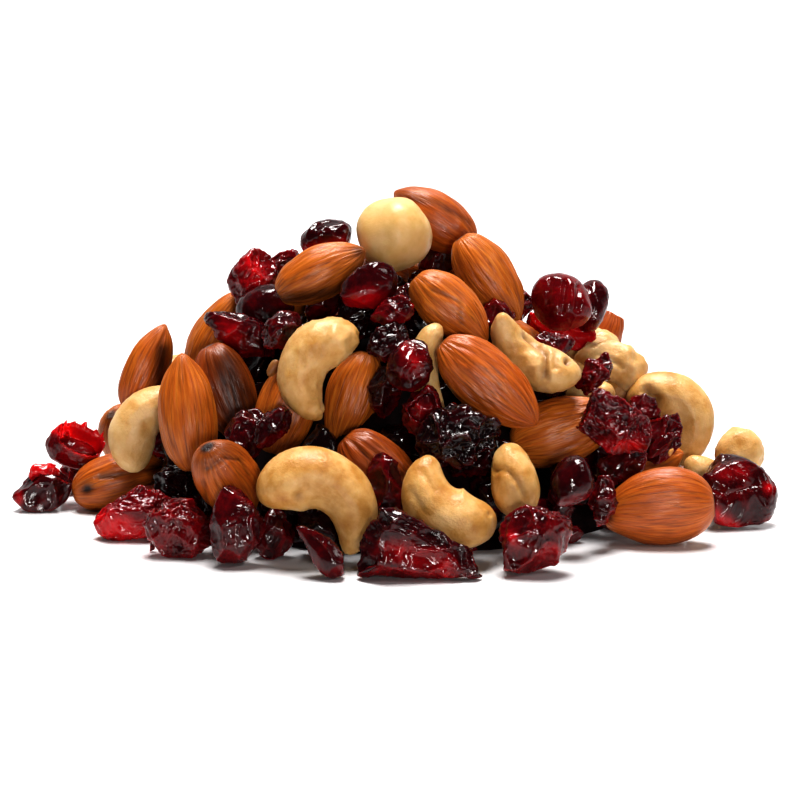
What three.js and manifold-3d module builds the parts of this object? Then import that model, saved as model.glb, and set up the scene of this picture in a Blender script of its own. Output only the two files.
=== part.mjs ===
// A loose heap of trail mix as it was tipped out on a table: whole almonds, cashews,
// one round blanched nut and dried cranberries. Millimetres, +Z up, the table is z = 0.
// The heap is one solid: a core, with every piece that lies open to view fused on to it.
import * as THREE from "three";
import { mergeVertices } from "three/addons/utils/BufferGeometryUtils.js";
import Module from "manifold-3d";

const wasm = await Module();
wasm.setup();

// ---------------------------------------------------------------- driving dimensions
// The middles of the pieces lie on a mound: z = height * (1 - radius^power).
const MOUND = { halfWidth: 69, halfDepth: 54, height: 57, power: 1.6 };
const PRESSED = 0.6;           // how far two neighbours may sink into each other
const SLIDE_STEP = 0.5;        // step of a piece on its way back into the heap
const LONGEST_SLIDE = 60;
const SEARCH = { from: 90, to: -70 };        // along a line of sight, for the mound's surface

// The front of the heap is laid out on an upright sheet that faces a person at the
// table: across is to their right, up is up the sheet, both from the sheet's middle.
const LOOK_DOWN = THREE.MathUtils.degToRad(12);
const EYE_DISTANCE = 600;
const SHEET_MIDDLE = new THREE.Vector3(1.4, 0, 23);
const RIGHT = new THREE.Vector3(1, 0, 0);
const UP = new THREE.Vector3(0, Math.sin(LOOK_DOWN), Math.cos(LOOK_DOWN));
const TOWARD = new THREE.Vector3(0, -Math.cos(LOOK_DOWN), Math.sin(LOOK_DOWN));
const EYE = SHEET_MIDDLE.clone().addScaledVector(TOWARD, EYE_DISTANCE);

// The sides and the back are laid by rule, on spots that spiral out over the mound.
// The first round lays the large pieces, the second fills up with berries.
const ROUNDS = [
  { spots: 150, seed: 4, almonds: 0.62, cashews: 0.38 },
  { spots: 560, seed: 9, almonds: 0.06, cashews: 0.06 },
];
const SPOT_SPREAD = 1.04;      // the spiral's last turn, in mound radii
const SPOT_JITTER = 0.5;       // radians that a spot strays along its turn, in all
const GOLDEN_ANGLE = Math.PI * (3 - Math.sqrt(5));
const LEAN_RANGE = 50;         // degrees between the two steepest leans on the slope
const ROLL_RANGE = 60;
const DEEPEST_SEAT = 10;       // how far in a piece may settle to find room
// Nearer to a person than this edge, only the listed front pieces lie. The edge comes
// nearer as it rises, and nearer again on both flanks.
const FRONT_EDGE = { y: 12, rise: 0.25, flank: 38, swing: 0.6 };

// Sizes by rule: the smallest piece of a kind, and how much more the largest has.
const RULE_SIZES = {
  "almond": { least: [19.5, 11, 8.4], more: [5, 2.4, 1.4] },
  "cashew": { least: [6.2, 165, 5.2, 3.8], more: [1.4, 50, 1.4, 0.8] },
  "berry": { least: [10, 8, 6.5], more: [6, 3, 2] },
};

// An almond is widest behind its middle and narrows towards +x, fastest at the point.
const ALMOND = { breadth: 1, narrowing: 0.1, point: 0.2, pointPower: 4 };
// A cashew's bend opens out from its fat end to its slim one; its ends are blunt.
const CASHEW = { bendAtFat: 0.9, opening: 0.25, bluntPower: 2.7 };
const UNEVEN = { nut: 0.025, berry: 0.11 };  // share of a piece's half-width
const SWELL = { paces: [2.1, 2.9, 3.7], level: 2.2 };

// The core is the mound drawn in to a share of its size, and it starts below the table.
const CORE = { share: 0.82, detail: 3, below: -1 };
// A peg joins what lies loose to the core. It points at the heart and is drawn out by
// steps until it is a bite deep in the core. Its width is a share of its piece's
// thickness.
const PEG = { step: 0.5, bite: 2, width: 0.4, sides: 3 };
const HEART = new THREE.Vector3(0, 0, 12);
const FACET_ALLOWANCE = 1.03;  // few-sided pieces keep their true thickness
const FOOT_MIDDLE = { x: -0.6, y: -1.5 };    // middle of the box round the heap as laid
const TABLE = { width: 400, depth: 40 };     // what is trimmed off below z = 0
const WELD_DISTANCE = 1e-4;
const LOOK = { color: 0x8a4a26, roughness: 0.45, metalness: 0 };

// ---------------------------------------------------------------- the pieces in front
// Each row: name, kind, across, up, seat, turn, lean, roll, size, and its own shape.
// Seat is "floor" for a piece on the table, or how far it stands out of the mound.
// Turn is the long axis in the sheet, lean brings its far end out, roll is about it.
// Sizes: an almond, a berry or a round nut has length, width and thickness; a cashew
// has the radius of its bend, its sweep in degrees and the radii of its two ends.
// A row comes before every row that it covers.
const FRONT = [
  ["R8", "berry", 3.3, -31.4, "floor", -13, 0, 25, [24.5, 10, 7.5], { taper: 0.18 }],
  ["R7", "berry", -16, -30.8, "floor", -42, 0, 30, [13.4, 9, 8], { taper: -0.15 }],
  ["C2", "cashew", -16.6, -20, 1.5, -30, 0, 0, [8.3, 205, 7.3, 4.4], {}],
  ["C3", "cashew", 10, -21.9, 0, 139, 0, 0, [6.4, 190, 7.2, 4.6], {}],
  ["C4", "cashew", 23.8, -17, 0, 100, 0, 85, [5, 170, 5.2, 3.8], {}],
  ["R9", "berry", 27.6, -28.3, "floor", 35, 0, 15, [15.5, 12, 10], {}],
  ["A16", "almond", 54.6, -22.1, "floor", 184, 0, -15, [22.2, 16, 9.8], {}],
  ["R15", "berry", 69.4, -18.6, "floor", -32, 0, -20, [16.4, 13.4, 10], {}],
  ["R6", "berry", -26, -27.6, "floor", 70, 0, 0, [8.6, 7, 5.6], {}],
  ["R5", "berry", -34, -25.6, "floor", 96, 0, 0, [14.6, 10.6, 9], { taper: 0.22 }],
  ["R4", "berry", -45.9, -26.4, "floor", -8, 0, 0, [13, 10.8, 9], {}],
  ["R3", "berry", -54.6, -23, "floor", 20, 0, 10, [17, 10.5, 7], {}],
  ["R2", "berry", -74.2, -18.5, "floor", 22, 0, 0, [12.6, 8.4, 7.4], {}],
  ["A8", "almond", -58.8, -16.9, "floor", 15, -8, 25, [20.8, 12.2, 10.5], {}],
  ["R1", "berry", -67.5, -9.6, 0, -22, 0, 10, [12.8, 10.4, 6.5], {}],
  ["A6", "almond", -44.2, -3.1, 0, 96, 0, 0, [23.8, 11.8, 9], {}],
  ["R10", "berry", 36, -17, 3, 60, 0, 0, [10.6, 9, 9], {}],
  ["R11", "berry", 42.4, -21, 0, 80, 0, 0, [11, 6, 6.5], {}],
  ["A5", "almond", 18.1, 3.9, 0, -41, 0, -6, [25, 12.8, 9.2], {}],
  ["C1", "cashew", -17.4, 7.2, 0, -115, 0, 180, [7.4, 184, 6, 4.1], {}],
  ["R8b", "berry", -3.3, -19.6, 0, 82, 0, 50, [15, 6, 8], {}],
  ["A13", "almond", -36, -16.3, 0, -60, -40, 0, [20, 12.5, 10.5], {}],
  ["R33", "berry", -31.8, -8.2, 0, 70, 0, 0, [11.5, 8.5, 7.5], {}],
  ["R33b", "berry", -26.3, -5.6, 0, 60, 0, 0, [9.5, 6, 6.5], {}],
  ["R32", "berry", 11.9, -7.6, 0, 25, 0, 0, [16.5, 13.4, 9.6], {}],
  ["R32b", "berry", 14.6, -11.9, 0, 10, 0, 0, [13, 8, 8], {}],
  ["A14", "almond", -4, -15.2, 0, -45, 0, 0, [21.5, 12.4, 9.4], {}],
  ["R12", "berry", 44, -5, 6, -28, 0, 0, [15.6, 11.2, 7], {}],
  ["R13", "berry", 54, -7.6, 4, 52, 0, 0, [11.5, 7.6, 6.5], {}],
  ["C6", "cashew", 56.9, -3, 0, -54, 0, 0, [6.6, 232, 5.7, 4.2], {}],
  ["C8", "cashew", 70.7, -10.6, 0, 200, 0, 70, [2.5, 150, 5.3, 4.6], {}],
  ["R14", "berry", 46.5, -13, 3, 20, 0, 0, [11, 7.6, 6.5], {}],
  ["A18", "almond", 50.4, -14, 0, 20, 0, 0, [17, 10, 8], {}],
  ["A15", "almond", 33.8, -6.5, 0, 17, 0, 0, [23, 13.5, 9.8], {}],
  ["C5", "cashew", 26.9, 9.7, 0, 138, 0, -60, [8.3, 150, 5.9, 2.8], {}],
  ["R31", "berry", 4.6, -2.1, 0, 40, 0, 0, [9.5, 8.6, 8], {}],
  ["R29", "berry", 2.2, 7.3, 0, 75, 0, 0, [11, 8.6, 7.8], {}],
  ["R30", "berry", -2.5, 2.4, 0, 70, 0, 0, [11, 7, 7], {}],
  ["C9", "cashew", 6.2, 6.3, -2, -80, 0, 180, [13, 85, 4.2, 3.6], {}],
  ["A11", "almond", -9.9, 0.7, 0, 250, 0, 0, [20, 10.8, 8.8], {}],
  ["A12", "almond", -23.3, -1.2, 0, 72, 0, 0, [21.5, 11.8, 8.6], {}],
  ["A9", "almond", -36.2, 1.6, 0, -70, 0, 0, [21.6, 11.8, 9.2], {}],
  ["C10", "cashew", -52.8, -5.2, -5, 52, 0, 0, [7.6, 165, 5.3, 4.4], {}],
  ["A7", "almond", -52.8, 6.2, 0, 67, 0, 38, [19.6, 10, 7.6], {}],
  ["R23", "berry", -33.1, 13.2, 0, -28, 0, 0, [15, 8.6, 8], {}],
  ["R22", "berry", -28.3, 18.6, 0, 30, 0, 0, [10.4, 10, 9], {}],
  ["A3", "almond", 10.2, 19.4, 0, -42, 0, 0, [19.4, 11, 9.2], {}],
  ["A4", "almond", -16.8, 26.3, 0, 27, 0, 12, [20, 10.8, 9], {}],
  ["H1", "round nut", -1.2, 34.5, 0, 15, 0, 0, [16, 15.6, 15.4], {}],
  ["A2", "almond", 18.3, 25.8, 0, -54, 0, 0, [20.8, 11, 8.4], {}],
  ["R25", "berry", -6.6, 23.5, 0, 30, 0, 0, [12.8, 8.6, 7.6], {}],
  ["R26", "berry", 1.4, 20.6, 0, 10, 0, 0, [8, 6, 5.6], {}],
  ["R27", "berry", -1.5, 18.4, 0, 22, 0, 0, [9, 5.4, 5.6], {}],
  ["R28", "berry", -2.5, 12, 0, 20, 0, 0, [9.5, 7.4, 7], {}],
  ["R21", "berry", -30.7, 25, 0, 60, 0, 0, [13.5, 9.4, 7.5], {}],
  ["A1", "almond", 7.4, 37.6, 0, 146, 0, 0, [19.6, 11.4, 9], {}],
  ["R16", "berry", 33.4, 20.2, 0, -10, 0, 0, [14, 11.6, 10], {}],
  ["R16b", "berry", 39.4, 19.6, 0, 80, 0, 0, [11.4, 7.2, 8], {}],
  ["R17", "berry", 33.4, 14.6, 0, -20, 0, 0, [11.5, 6.4, 6], {}],
  ["R18", "berry", 40.4, 5, 0, 45, 0, 0, [8, 6, 5.6], {}],
  ["C7", "cashew", 44.2, 6.6, 0, -20, 0, 20, [5, 190, 4.3, 3.2], {}],
  ["C7b", "cashew", 39.5, 10.5, 0, 10, 0, 40, [5, 150, 4.2, 3.4], {}],
  ["A10", "almond", -37.4, 13, 0, 60, 0, 0, [22, 11.8, 9.4], {}],
  ["A17", "almond", 41.5, 12.6, 0, 65, 0, 0, [17, 9.6, 7.4], {}],
  ["A19", "almond", -5.6, 26, 0, 172, 0, 0, [16, 9, 7.6], {}],
  ["R34", "berry", 8.6, 30.2, 0, 80, 0, 0, [8.5, 6, 6], {}],
  ["R19", "berry", -14.9, 33.9, 0, 8, 0, 0, [11, 7, 7], {}],
  ["R20", "berry", -23.5, 28.2, -3, 20, 0, 0, [7.5, 6, 6], {}],
  ["R36", "berry", -9, 17, 0, 20, 0, 0, [12, 9, 8], {}],
  ["R37", "berry", -46.6, -17, -6, 20, 0, 0, [9.6, 7.6, 6.4], {}],
  ["R38", "berry", -15.4, 20.2, 0, 60, 0, 0, [10, 8, 7.4], {}],
  ["R39", "berry", -24.6, 14.4, 0, 30, 0, 0, [9, 7.4, 7], {}],
];

// Sides round and sides along of each kind's few-sided mesh.
const FRONT_SIDES = {
  "almond": [8, 6],
  "cashew": [7, 8],
  "round nut": [10, 7],
  "berry": [6, 5],
};
const RULE_SIDES = {
  "almond": [6, 5],
  "cashew": [6, 6],
  "berry": [6, 4],
};

// ---------------------------------------------------------------- helpers
// A stream of numbers from 0 to 1 that is the same on every run.
function chance(seed) {
  let state = seed >>> 0;
  return () => {
    state = (Math.imul(state, 1664525) + 1013904223) >>> 0;
    return state / 4294967296;
  };
}

// Slow unevenness over the directions s of a piece, about -1 to 1.
function swell(s, seed) {
  const draw = chance(seed * 7919 + 17);
  let total = 0;
  for (const pace of SWELL.paces) {
    const way = new THREE.Vector3(draw() * 2 - 1, draw() * 2 - 1, draw() * 2 - 1);
    const phase = draw() * 2 * Math.PI;
    total += Math.sin(pace * way.dot(s) + phase);
  }
  return total / SWELL.level;
}

// ---------------------------------------------------------------- shapes
// Each maps a direction s of the unit sphere to a point; x is the piece's long axis
// and z its thickness.

// Broad and round at the base, pointed at +x.
function almondPoint(s, [length, width, thickness]) {
  const point = ALMOND.point * Math.max(0, s.x) ** ALMOND.pointPower;
  const taper = ALMOND.breadth - ALMOND.narrowing * s.x - point;
  return new THREE.Vector3(s.x * length / 2, s.y * width / 2 * taper, s.z * thickness / 2 * taper);
}

// Bent round a point below it, fat at -x and slimmer at +x, blunt at both ends.
function cashewPoint(s, [bend, sweep, fat, slim]) {
  const angle = THREE.MathUtils.degToRad(sweep) / 2 * s.x;
  const along = (s.x + 1) / 2;
  const atEnd = 1 - s.x * s.x < 1e-9;
  const bluntness = (1 - Math.abs(s.x) ** CASHEW.bluntPower) / (1 - s.x * s.x);
  const blunt = Math.sqrt(atEnd ? CASHEW.bluntPower / 2 : bluntness);
  const radius = (fat + (slim - fat) * along) * blunt;
  const out = bend * (CASHEW.bendAtFat + CASHEW.opening * along) + radius * s.y;
  return new THREE.Vector3(out * Math.sin(angle), out * Math.cos(angle), radius * s.z);
}

function roundNutPoint(s, [length, width, thickness], seed) {
  const k = 1 + UNEVEN.nut * swell(s, seed);
  return new THREE.Vector3(s.x * length / 2 * k, s.y * width / 2 * k, s.z * thickness / 2 * k);
}

// An uneven dried berry, narrower at +x where it has a taper.
function berryPoint(s, [length, width, thickness], seed, own) {
  const k = 1 + UNEVEN.berry * swell(s, seed);
  const narrow = k * (1 - (own.taper ?? 0) * s.x);
  return new THREE.Vector3(s.x * length / 2 * k, s.y * width / 2 * narrow, s.z * thickness / 2 * narrow);
}

const SHAPES = {
  "almond": almondPoint,
  "cashew": cashewPoint,
  "round nut": roundNutPoint,
  "berry": berryPoint,
};

// ---------------------------------------------------------------- one piece
// A piece is filled with balls at five stations along it. The balls tell quickly how
// deep two pieces press into each other.
const STATIONS = [-0.88, -0.5, 0, 0.5, 0.88];
const ROUND_ENOUGH = 0.2;      // flatter than this, a station takes two balls

function ballsOf(kind, size, seed, own) {
  const at = (x, y, z) => SHAPES[kind](new THREE.Vector3(x, y, z), size, seed, own);
  const balls = [];
  for (const x of STATIONS) {
    const c = Math.sqrt(1 - x * x);
    const [left, right, top, under] = [at(x, c, 0), at(x, -c, 0), at(x, 0, c), at(x, 0, -c)];
    const middle = left.clone().add(right).add(top).add(under).divideScalar(4);
    const halfWidth = left.distanceTo(right) / 2;
    const r = Math.min(halfWidth, top.distanceTo(under) / 2);
    const spare = halfWidth - r;
    const away = left.clone().sub(right).divideScalar(2 * halfWidth).multiplyScalar(spare);
    for (const side of spare < ROUND_ENOUGH * r ? [0] : [-1, 1]) {
      balls.push({ p: middle.clone().addScaledVector(away, side), r });
    }
  }
  const box = new THREE.Box3();
  for (const { p, r } of balls) {
    box.union(new THREE.Box3(p.clone().subScalar(r), p.clone().addScalar(r)));
  }
  const middle = box.getCenter(new THREE.Vector3());
  balls.forEach((ball) => ball.p.sub(middle));
  return { balls, middle };
}

// Turn in the frame's plane, lean of the +x end out of it, roll about the long axis.
function turned(right, up, toward, turn, lean, roll) {
  const { degToRad } = THREE.MathUtils;
  return new THREE.Matrix4().makeBasis(right, up, toward)
    .multiply(new THREE.Matrix4().makeRotationZ(degToRad(turn)))
    .multiply(new THREE.Matrix4().makeRotationY(-degToRad(lean)))
    .multiply(new THREE.Matrix4().makeRotationX(degToRad(roll)));
}

function makePiece(kind, size, sides, rotation, seed, own) {
  const { balls, middle } = ballsOf(kind, size, seed, own);
  balls.forEach((ball) => ball.p.applyMatrix4(rotation));
  const low = Math.max(...balls.map(({ p, r }) => r - p.z));
  const reach = Math.max(...balls.map(({ p, r }) => p.length() + r));
  return { kind, size, sides, rotation, seed, own, balls, middle, low, reach, at: null };
}

// The deepest that a piece with its middle at `at` presses into any seated one.
function pressedAt(piece, at, seated) {
  let worst = 0;
  const apart = new THREE.Vector3();
  for (const other of seated) {
    apart.subVectors(at, other.at);
    if (apart.length() > piece.reach + other.reach) continue;
    for (const a of piece.balls) {
      for (const b of other.balls) {
        const gap = Math.hypot(a.p.x + apart.x - b.p.x, a.p.y + apart.y - b.p.y, a.p.z + apart.z - b.p.z);
        worst = Math.max(worst, a.r + b.r - gap);
      }
    }
  }
  return worst;
}

// ---------------------------------------------------------------- laying the heap
function moundField(p) {
  const radius = Math.hypot(p.x / MOUND.halfWidth, p.y / MOUND.halfDepth);
  return p.z / MOUND.height + radius ** MOUND.power - 1;
}

// The mound's height at a share `radius` of the way out to its rim.
function moundRise(radius) {
  return MOUND.height * (1 - radius ** MOUND.power);
}

// How far out along `way` from `start` the mound's surface is, or comes nearest.
function surfaceOn(start, way) {
  let best = { field: Infinity, out: 0 };
  for (let out = SEARCH.from; out > SEARCH.to; out -= SLIDE_STEP) {
    const field = moundField(start.clone().addScaledVector(way, out));
    if (field <= 0) return out;
    if (field < best.field) best = { field, out };
  }
  return best.out;
}

// Front pieces start at the mound's surface and slide back until nothing in front
// of them is in their way.
function seatFront() {
  const seated = [];
  FRONT.forEach(([, kind, across, up, seat, turn, lean, roll, size, own], k) => {
    const rotation = turned(RIGHT, UP, TOWARD, turn, lean, roll);
    const piece = makePiece(kind, size, FRONT_SIDES[kind], rotation, k + 1, own);
    const start = SHEET_MIDDLE.clone().addScaledVector(RIGHT, across).addScaledVector(UP, up);
    const way = EYE.clone().sub(start).normalize();
    const onTable = (piece.low - start.z) / way.z;
    let out = onTable;
    if (seat !== "floor") {
      out = surfaceOn(start, way) + seat;
      const last = out - LONGEST_SLIDE;
      while (out > last && pressedAt(piece, start.clone().addScaledVector(way, out), seated) > PRESSED) {
        out -= SLIDE_STEP;
      }
      out = Math.max(out, onTable);
    }
    piece.at = start.clone().addScaledVector(way, out);
    seated.push(piece);
  });
  return seated;
}

// The size of a piece laid by rule, from a draw of 0 to 1.
function sizeByRule(kind, big) {
  const { least, more } = RULE_SIZES[kind];
  return least.map((value, k) => value + more[k] * big);
}

// A round lays its pieces wherever the mound is still bare, lying flat on its slope.
function seatRound({ spots, seed, almonds, cashews }, seated) {
  const draw = chance(seed);
  for (let k = 0; k < spots; k++) {
    const radius = Math.sqrt((k + 0.5) / spots) * SPOT_SPREAD;
    const angle = k * GOLDEN_ANGLE + SPOT_JITTER * (draw() - 0.5);
    const [sort, turn, lean, roll, big] = [draw(), draw(), draw(), draw(), draw()];
    const x = radius * MOUND.halfWidth * Math.cos(angle);
    const y = radius * MOUND.halfDepth * Math.sin(angle);
    const inside = Math.min(radius, 1);
    const z = moundRise(inside);
    const edge = FRONT_EDGE.y - FRONT_EDGE.rise * z;
    if (y < edge - FRONT_EDGE.swing * Math.max(0, Math.abs(x) - FRONT_EDGE.flank)) continue;
    const steep = MOUND.height * MOUND.power * inside ** (MOUND.power - 2);
    const outward = new THREE.Vector3(steep * x / MOUND.halfWidth ** 2, steep * y / MOUND.halfDepth ** 2, 1);
    outward.normalize();
    const side = new THREE.Vector3(0, 0, 1).cross(outward).normalize();
    const uphill = outward.clone().cross(side);
    const kind = sort < almonds ? "almond" : sort < almonds + cashews ? "cashew" : "berry";
    const angles = [turn * 360, (lean - 0.5) * LEAN_RANGE, (roll - 0.5) * ROLL_RANGE];
    const rotation = turned(side, uphill, outward, ...angles);
    const size = sizeByRule(kind, big);
    const piece = makePiece(kind, size, RULE_SIDES[kind], rotation, 100 * seed + k, {});
    for (let depth = 0; depth <= DEEPEST_SEAT; depth++) {
      const at = new THREE.Vector3(x, y, z).addScaledVector(outward, -depth);
      at.z = Math.max(at.z, piece.low);
      if (pressedAt(piece, at, seated) <= PRESSED) {
        piece.at = at;
        seated.push(piece);
        break;
      }
    }
  }
}

// ---------------------------------------------------------------- solids
function toSolid(geometry) {
  geometry.deleteAttribute("normal");
  geometry.deleteAttribute("uv");
  const merged = mergeVertices(geometry, WELD_DISTANCE);
  const vertProperties = new Float32Array(merged.attributes.position.array);
  const triVerts = new Uint32Array(merged.index.array);
  return new wasm.Manifold(new wasm.Mesh({ numProp: 3, vertProperties, triVerts }));
}

function toGeometry(solid) {
  const mesh = solid.getMesh();
  const geometry = new THREE.BufferGeometry();
  geometry.setAttribute("position", new THREE.BufferAttribute(mesh.vertProperties, 3));
  geometry.setIndex(new THREE.BufferAttribute(mesh.triVerts, 1));
  geometry.computeVertexNormals();
  return geometry;
}

// A piece's few-sided solid where it lies in the heap.
function pieceSolid(piece) {
  const geometry = new THREE.SphereGeometry(1, ...piece.sides).rotateZ(-Math.PI / 2);
  const position = geometry.attributes.position;
  const s = new THREE.Vector3();
  for (let i = 0; i < position.count; i++) {
    s.fromBufferAttribute(position, i).normalize();
    const p = SHAPES[piece.kind](s, piece.size, piece.seed, piece.own).sub(piece.middle);
    p.multiplyScalar(FACET_ALLOWANCE).applyMatrix4(piece.rotation).add(piece.at);
    position.setXYZ(i, p.x, p.y, p.z);
  }
  return toSolid(geometry);
}

// The inside of the heap, behind the pieces.
function coreSolid() {
  const geometry = new THREE.IcosahedronGeometry(1, CORE.detail);
  const position = geometry.attributes.position;
  const s = new THREE.Vector3();
  for (let i = 0; i < position.count; i++) {
    s.fromBufferAttribute(position, i).normalize();
    const z = s.z > 0 ? moundRise(Math.hypot(s.x, s.y)) : CORE.below;
    position.setXYZ(i, s.x * MOUND.halfWidth, s.y * MOUND.halfDepth, z);
  }
  return toSolid(geometry.scale(CORE.share, CORE.share, CORE.share));
}

// Hidden behind its piece, from the piece's middle into the core.
function pegSolid({ at, balls }) {
  const way = HEART.clone().sub(at).normalize();
  const end = at.clone();
  while (moundField(end.clone().divideScalar(CORE.share)) > 0) end.addScaledVector(way, PEG.step);
  end.addScaledVector(way, PEG.bite);
  const width = PEG.width * Math.min(...balls.map(({ r }) => r));
  const geometry = new THREE.CylinderGeometry(width, width, at.distanceTo(end), PEG.sides);
  geometry.applyQuaternion(new THREE.Quaternion().setFromUnitVectors(new THREE.Vector3(0, 1, 0), way));
  const middle = at.clone().add(end).divideScalar(2);
  return toSolid(geometry.translate(middle.x, middle.y, middle.z));
}

// Pegs for all that lies loose, until the heap is one body.
function pegged(heap, seated) {
  const unpegged = new Set(seated);
  for (;;) {
    const [, ...loose] = heap.decompose().sort((a, b) => b.volume() - a.volume());
    if (loose.length === 0) return heap;
    for (const body of loose) {
      const { min, max } = body.boundingBox();
      const middle = new THREE.Vector3(...min).add(new THREE.Vector3(...max)).divideScalar(2);
      const far = ({ at }) => at.distanceTo(middle);
      const nearest = [...unpegged].reduce((a, b) => (far(a) < far(b) ? a : b));
      unpegged.delete(nearest);
      heap = heap.add(pegSolid(nearest));
    }
  }
}

// What lies below the table's top, which trims the pieces flat where they rest.
function tableSolid() {
  const { width, depth } = TABLE;
  return toSolid(new THREE.BoxGeometry(width, width, depth).translate(0, 0, -depth / 2));
}

function heapMesh() {
  const seated = seatFront();
  ROUNDS.forEach((round) => seatRound(round, seated));
  const loose = seated.reduce((heap, piece) => heap.add(pieceSolid(piece)), coreSolid());
  const heap = pegged(loose, seated).subtract(tableSolid());
  const geometry = toGeometry(heap).translate(-FOOT_MIDDLE.x, -FOOT_MIDDLE.y, 0);
  const material = new THREE.MeshStandardMaterial(LOOK);
  const mesh = new THREE.Mesh(geometry, material);
  mesh.name = "trail_mix_heap";
  return mesh;
}

const group = new THREE.Group();
group.add(heapMesh());
export default group;
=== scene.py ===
# %% [markdown]
# # A heap of trail mix
# A loose heap of whole almonds, cashews, one round blanched nut and dried cranberries,
# as it was tipped out on a white table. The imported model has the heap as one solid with
# few sides. Here every piece gets its real surface, in the place it has in that solid.

# %% The frame
import math
from functools import lru_cache

import bmesh
import bpy
from mathutils import Matrix, Vector, noise


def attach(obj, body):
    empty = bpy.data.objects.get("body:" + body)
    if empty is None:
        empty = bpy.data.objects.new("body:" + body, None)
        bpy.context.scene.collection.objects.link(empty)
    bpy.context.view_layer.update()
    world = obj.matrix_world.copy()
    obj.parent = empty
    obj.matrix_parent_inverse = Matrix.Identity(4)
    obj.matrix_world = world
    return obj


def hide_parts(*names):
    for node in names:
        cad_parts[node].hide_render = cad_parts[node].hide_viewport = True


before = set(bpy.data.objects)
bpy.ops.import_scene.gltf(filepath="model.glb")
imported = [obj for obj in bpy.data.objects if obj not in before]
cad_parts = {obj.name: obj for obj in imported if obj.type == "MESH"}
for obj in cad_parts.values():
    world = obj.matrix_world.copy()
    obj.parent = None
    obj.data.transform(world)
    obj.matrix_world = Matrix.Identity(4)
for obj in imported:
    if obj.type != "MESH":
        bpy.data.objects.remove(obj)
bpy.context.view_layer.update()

NOISE_SEED = 1   # without a seed, noise.noise_vector differs from run to run

scene = bpy.context.scene
noise.seed_set(NOISE_SEED)

# %% [markdown]
# ## Lengths and the sheet
# All lengths below are millimetres, and meshes are turned to metres at the very end.
# A person at the table looks down on the heap by 12 degrees. An upright sheet faces
# them, and the front pieces are placed on it: across is to their right, up is up the
# sheet. Plain tuples keep full precision, which the laying of the heap needs.

# %% Lengths and the sheet
MM = 0.001
LOOK_DOWN = math.radians(12)
EYE_DISTANCE = 600.0
SHEET_MIDDLE = (1.4, 0.0, 23.0)
RIGHT = (1.0, 0.0, 0.0)
UP = (0.0, math.sin(LOOK_DOWN), math.cos(LOOK_DOWN))
TOWARD = (0.0, -math.cos(LOOK_DOWN), math.sin(LOOK_DOWN))
FOOT_MIDDLE = (-0.6, -1.5, 0.0)   # middle of the box round the heap as it is laid


def add(a, b, times=1.0):
    return (a[0] + times * b[0], a[1] + times * b[1], a[2] + times * b[2])


def dot(a, b):
    return a[0] * b[0] + a[1] * b[1] + a[2] * b[2]


def cross(a, b):
    return (a[1] * b[2] - a[2] * b[1], a[2] * b[0] - a[0] * b[2], a[0] * b[1] - a[1] * b[0])


def unit(a):
    length = math.sqrt(dot(a, a))
    return (a[0] / length, a[1] / length, a[2] / length)


EYE = add(SHEET_MIDDLE, TOWARD, EYE_DISTANCE)
print("eye, mm:", tuple(round(value, 1) for value in EYE))

# %% [markdown]
# ## The camera
# A long lens from where the person's eye is. The width of view at the sheet sets the
# focal length, so that a millimetre on the sheet is 4.8 pixels of an 800 pixel picture.

# %% The camera
PICTURE_WIDTH, PIXELS_PER_MM = 800, 4.8
VIEW_WIDTH = PICTURE_WIDTH / PIXELS_PER_MM
SENSOR = 36.0

camera_data = bpy.data.cameras.new("eye")
camera_data.sensor_width = SENSOR
camera_data.lens = SENSOR * EYE_DISTANCE / VIEW_WIDTH
camera_data.clip_start = 0.01
camera = bpy.data.objects.new("eye", camera_data)
camera.location = Vector(add(EYE, FOOT_MIDDLE, -1)) * MM
camera.rotation_euler = (math.radians(90) - LOOK_DOWN, 0, 0)
scene.collection.objects.link(camera)
scene.camera = camera
print("lens, mm:", round(camera_data.lens, 1))

# %% [markdown]
# ## What is in the front of the heap
# Each row is a piece: name, across, up, seat, turn, lean, roll and size. The letter of
# the name is its kind. The seat is "floor" for a piece on the table, or how far it
# stands out of the mound. A row comes before every row that it covers. A list is right
# here, because these pieces lie where somebody's hand dropped them, by no rule.

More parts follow.
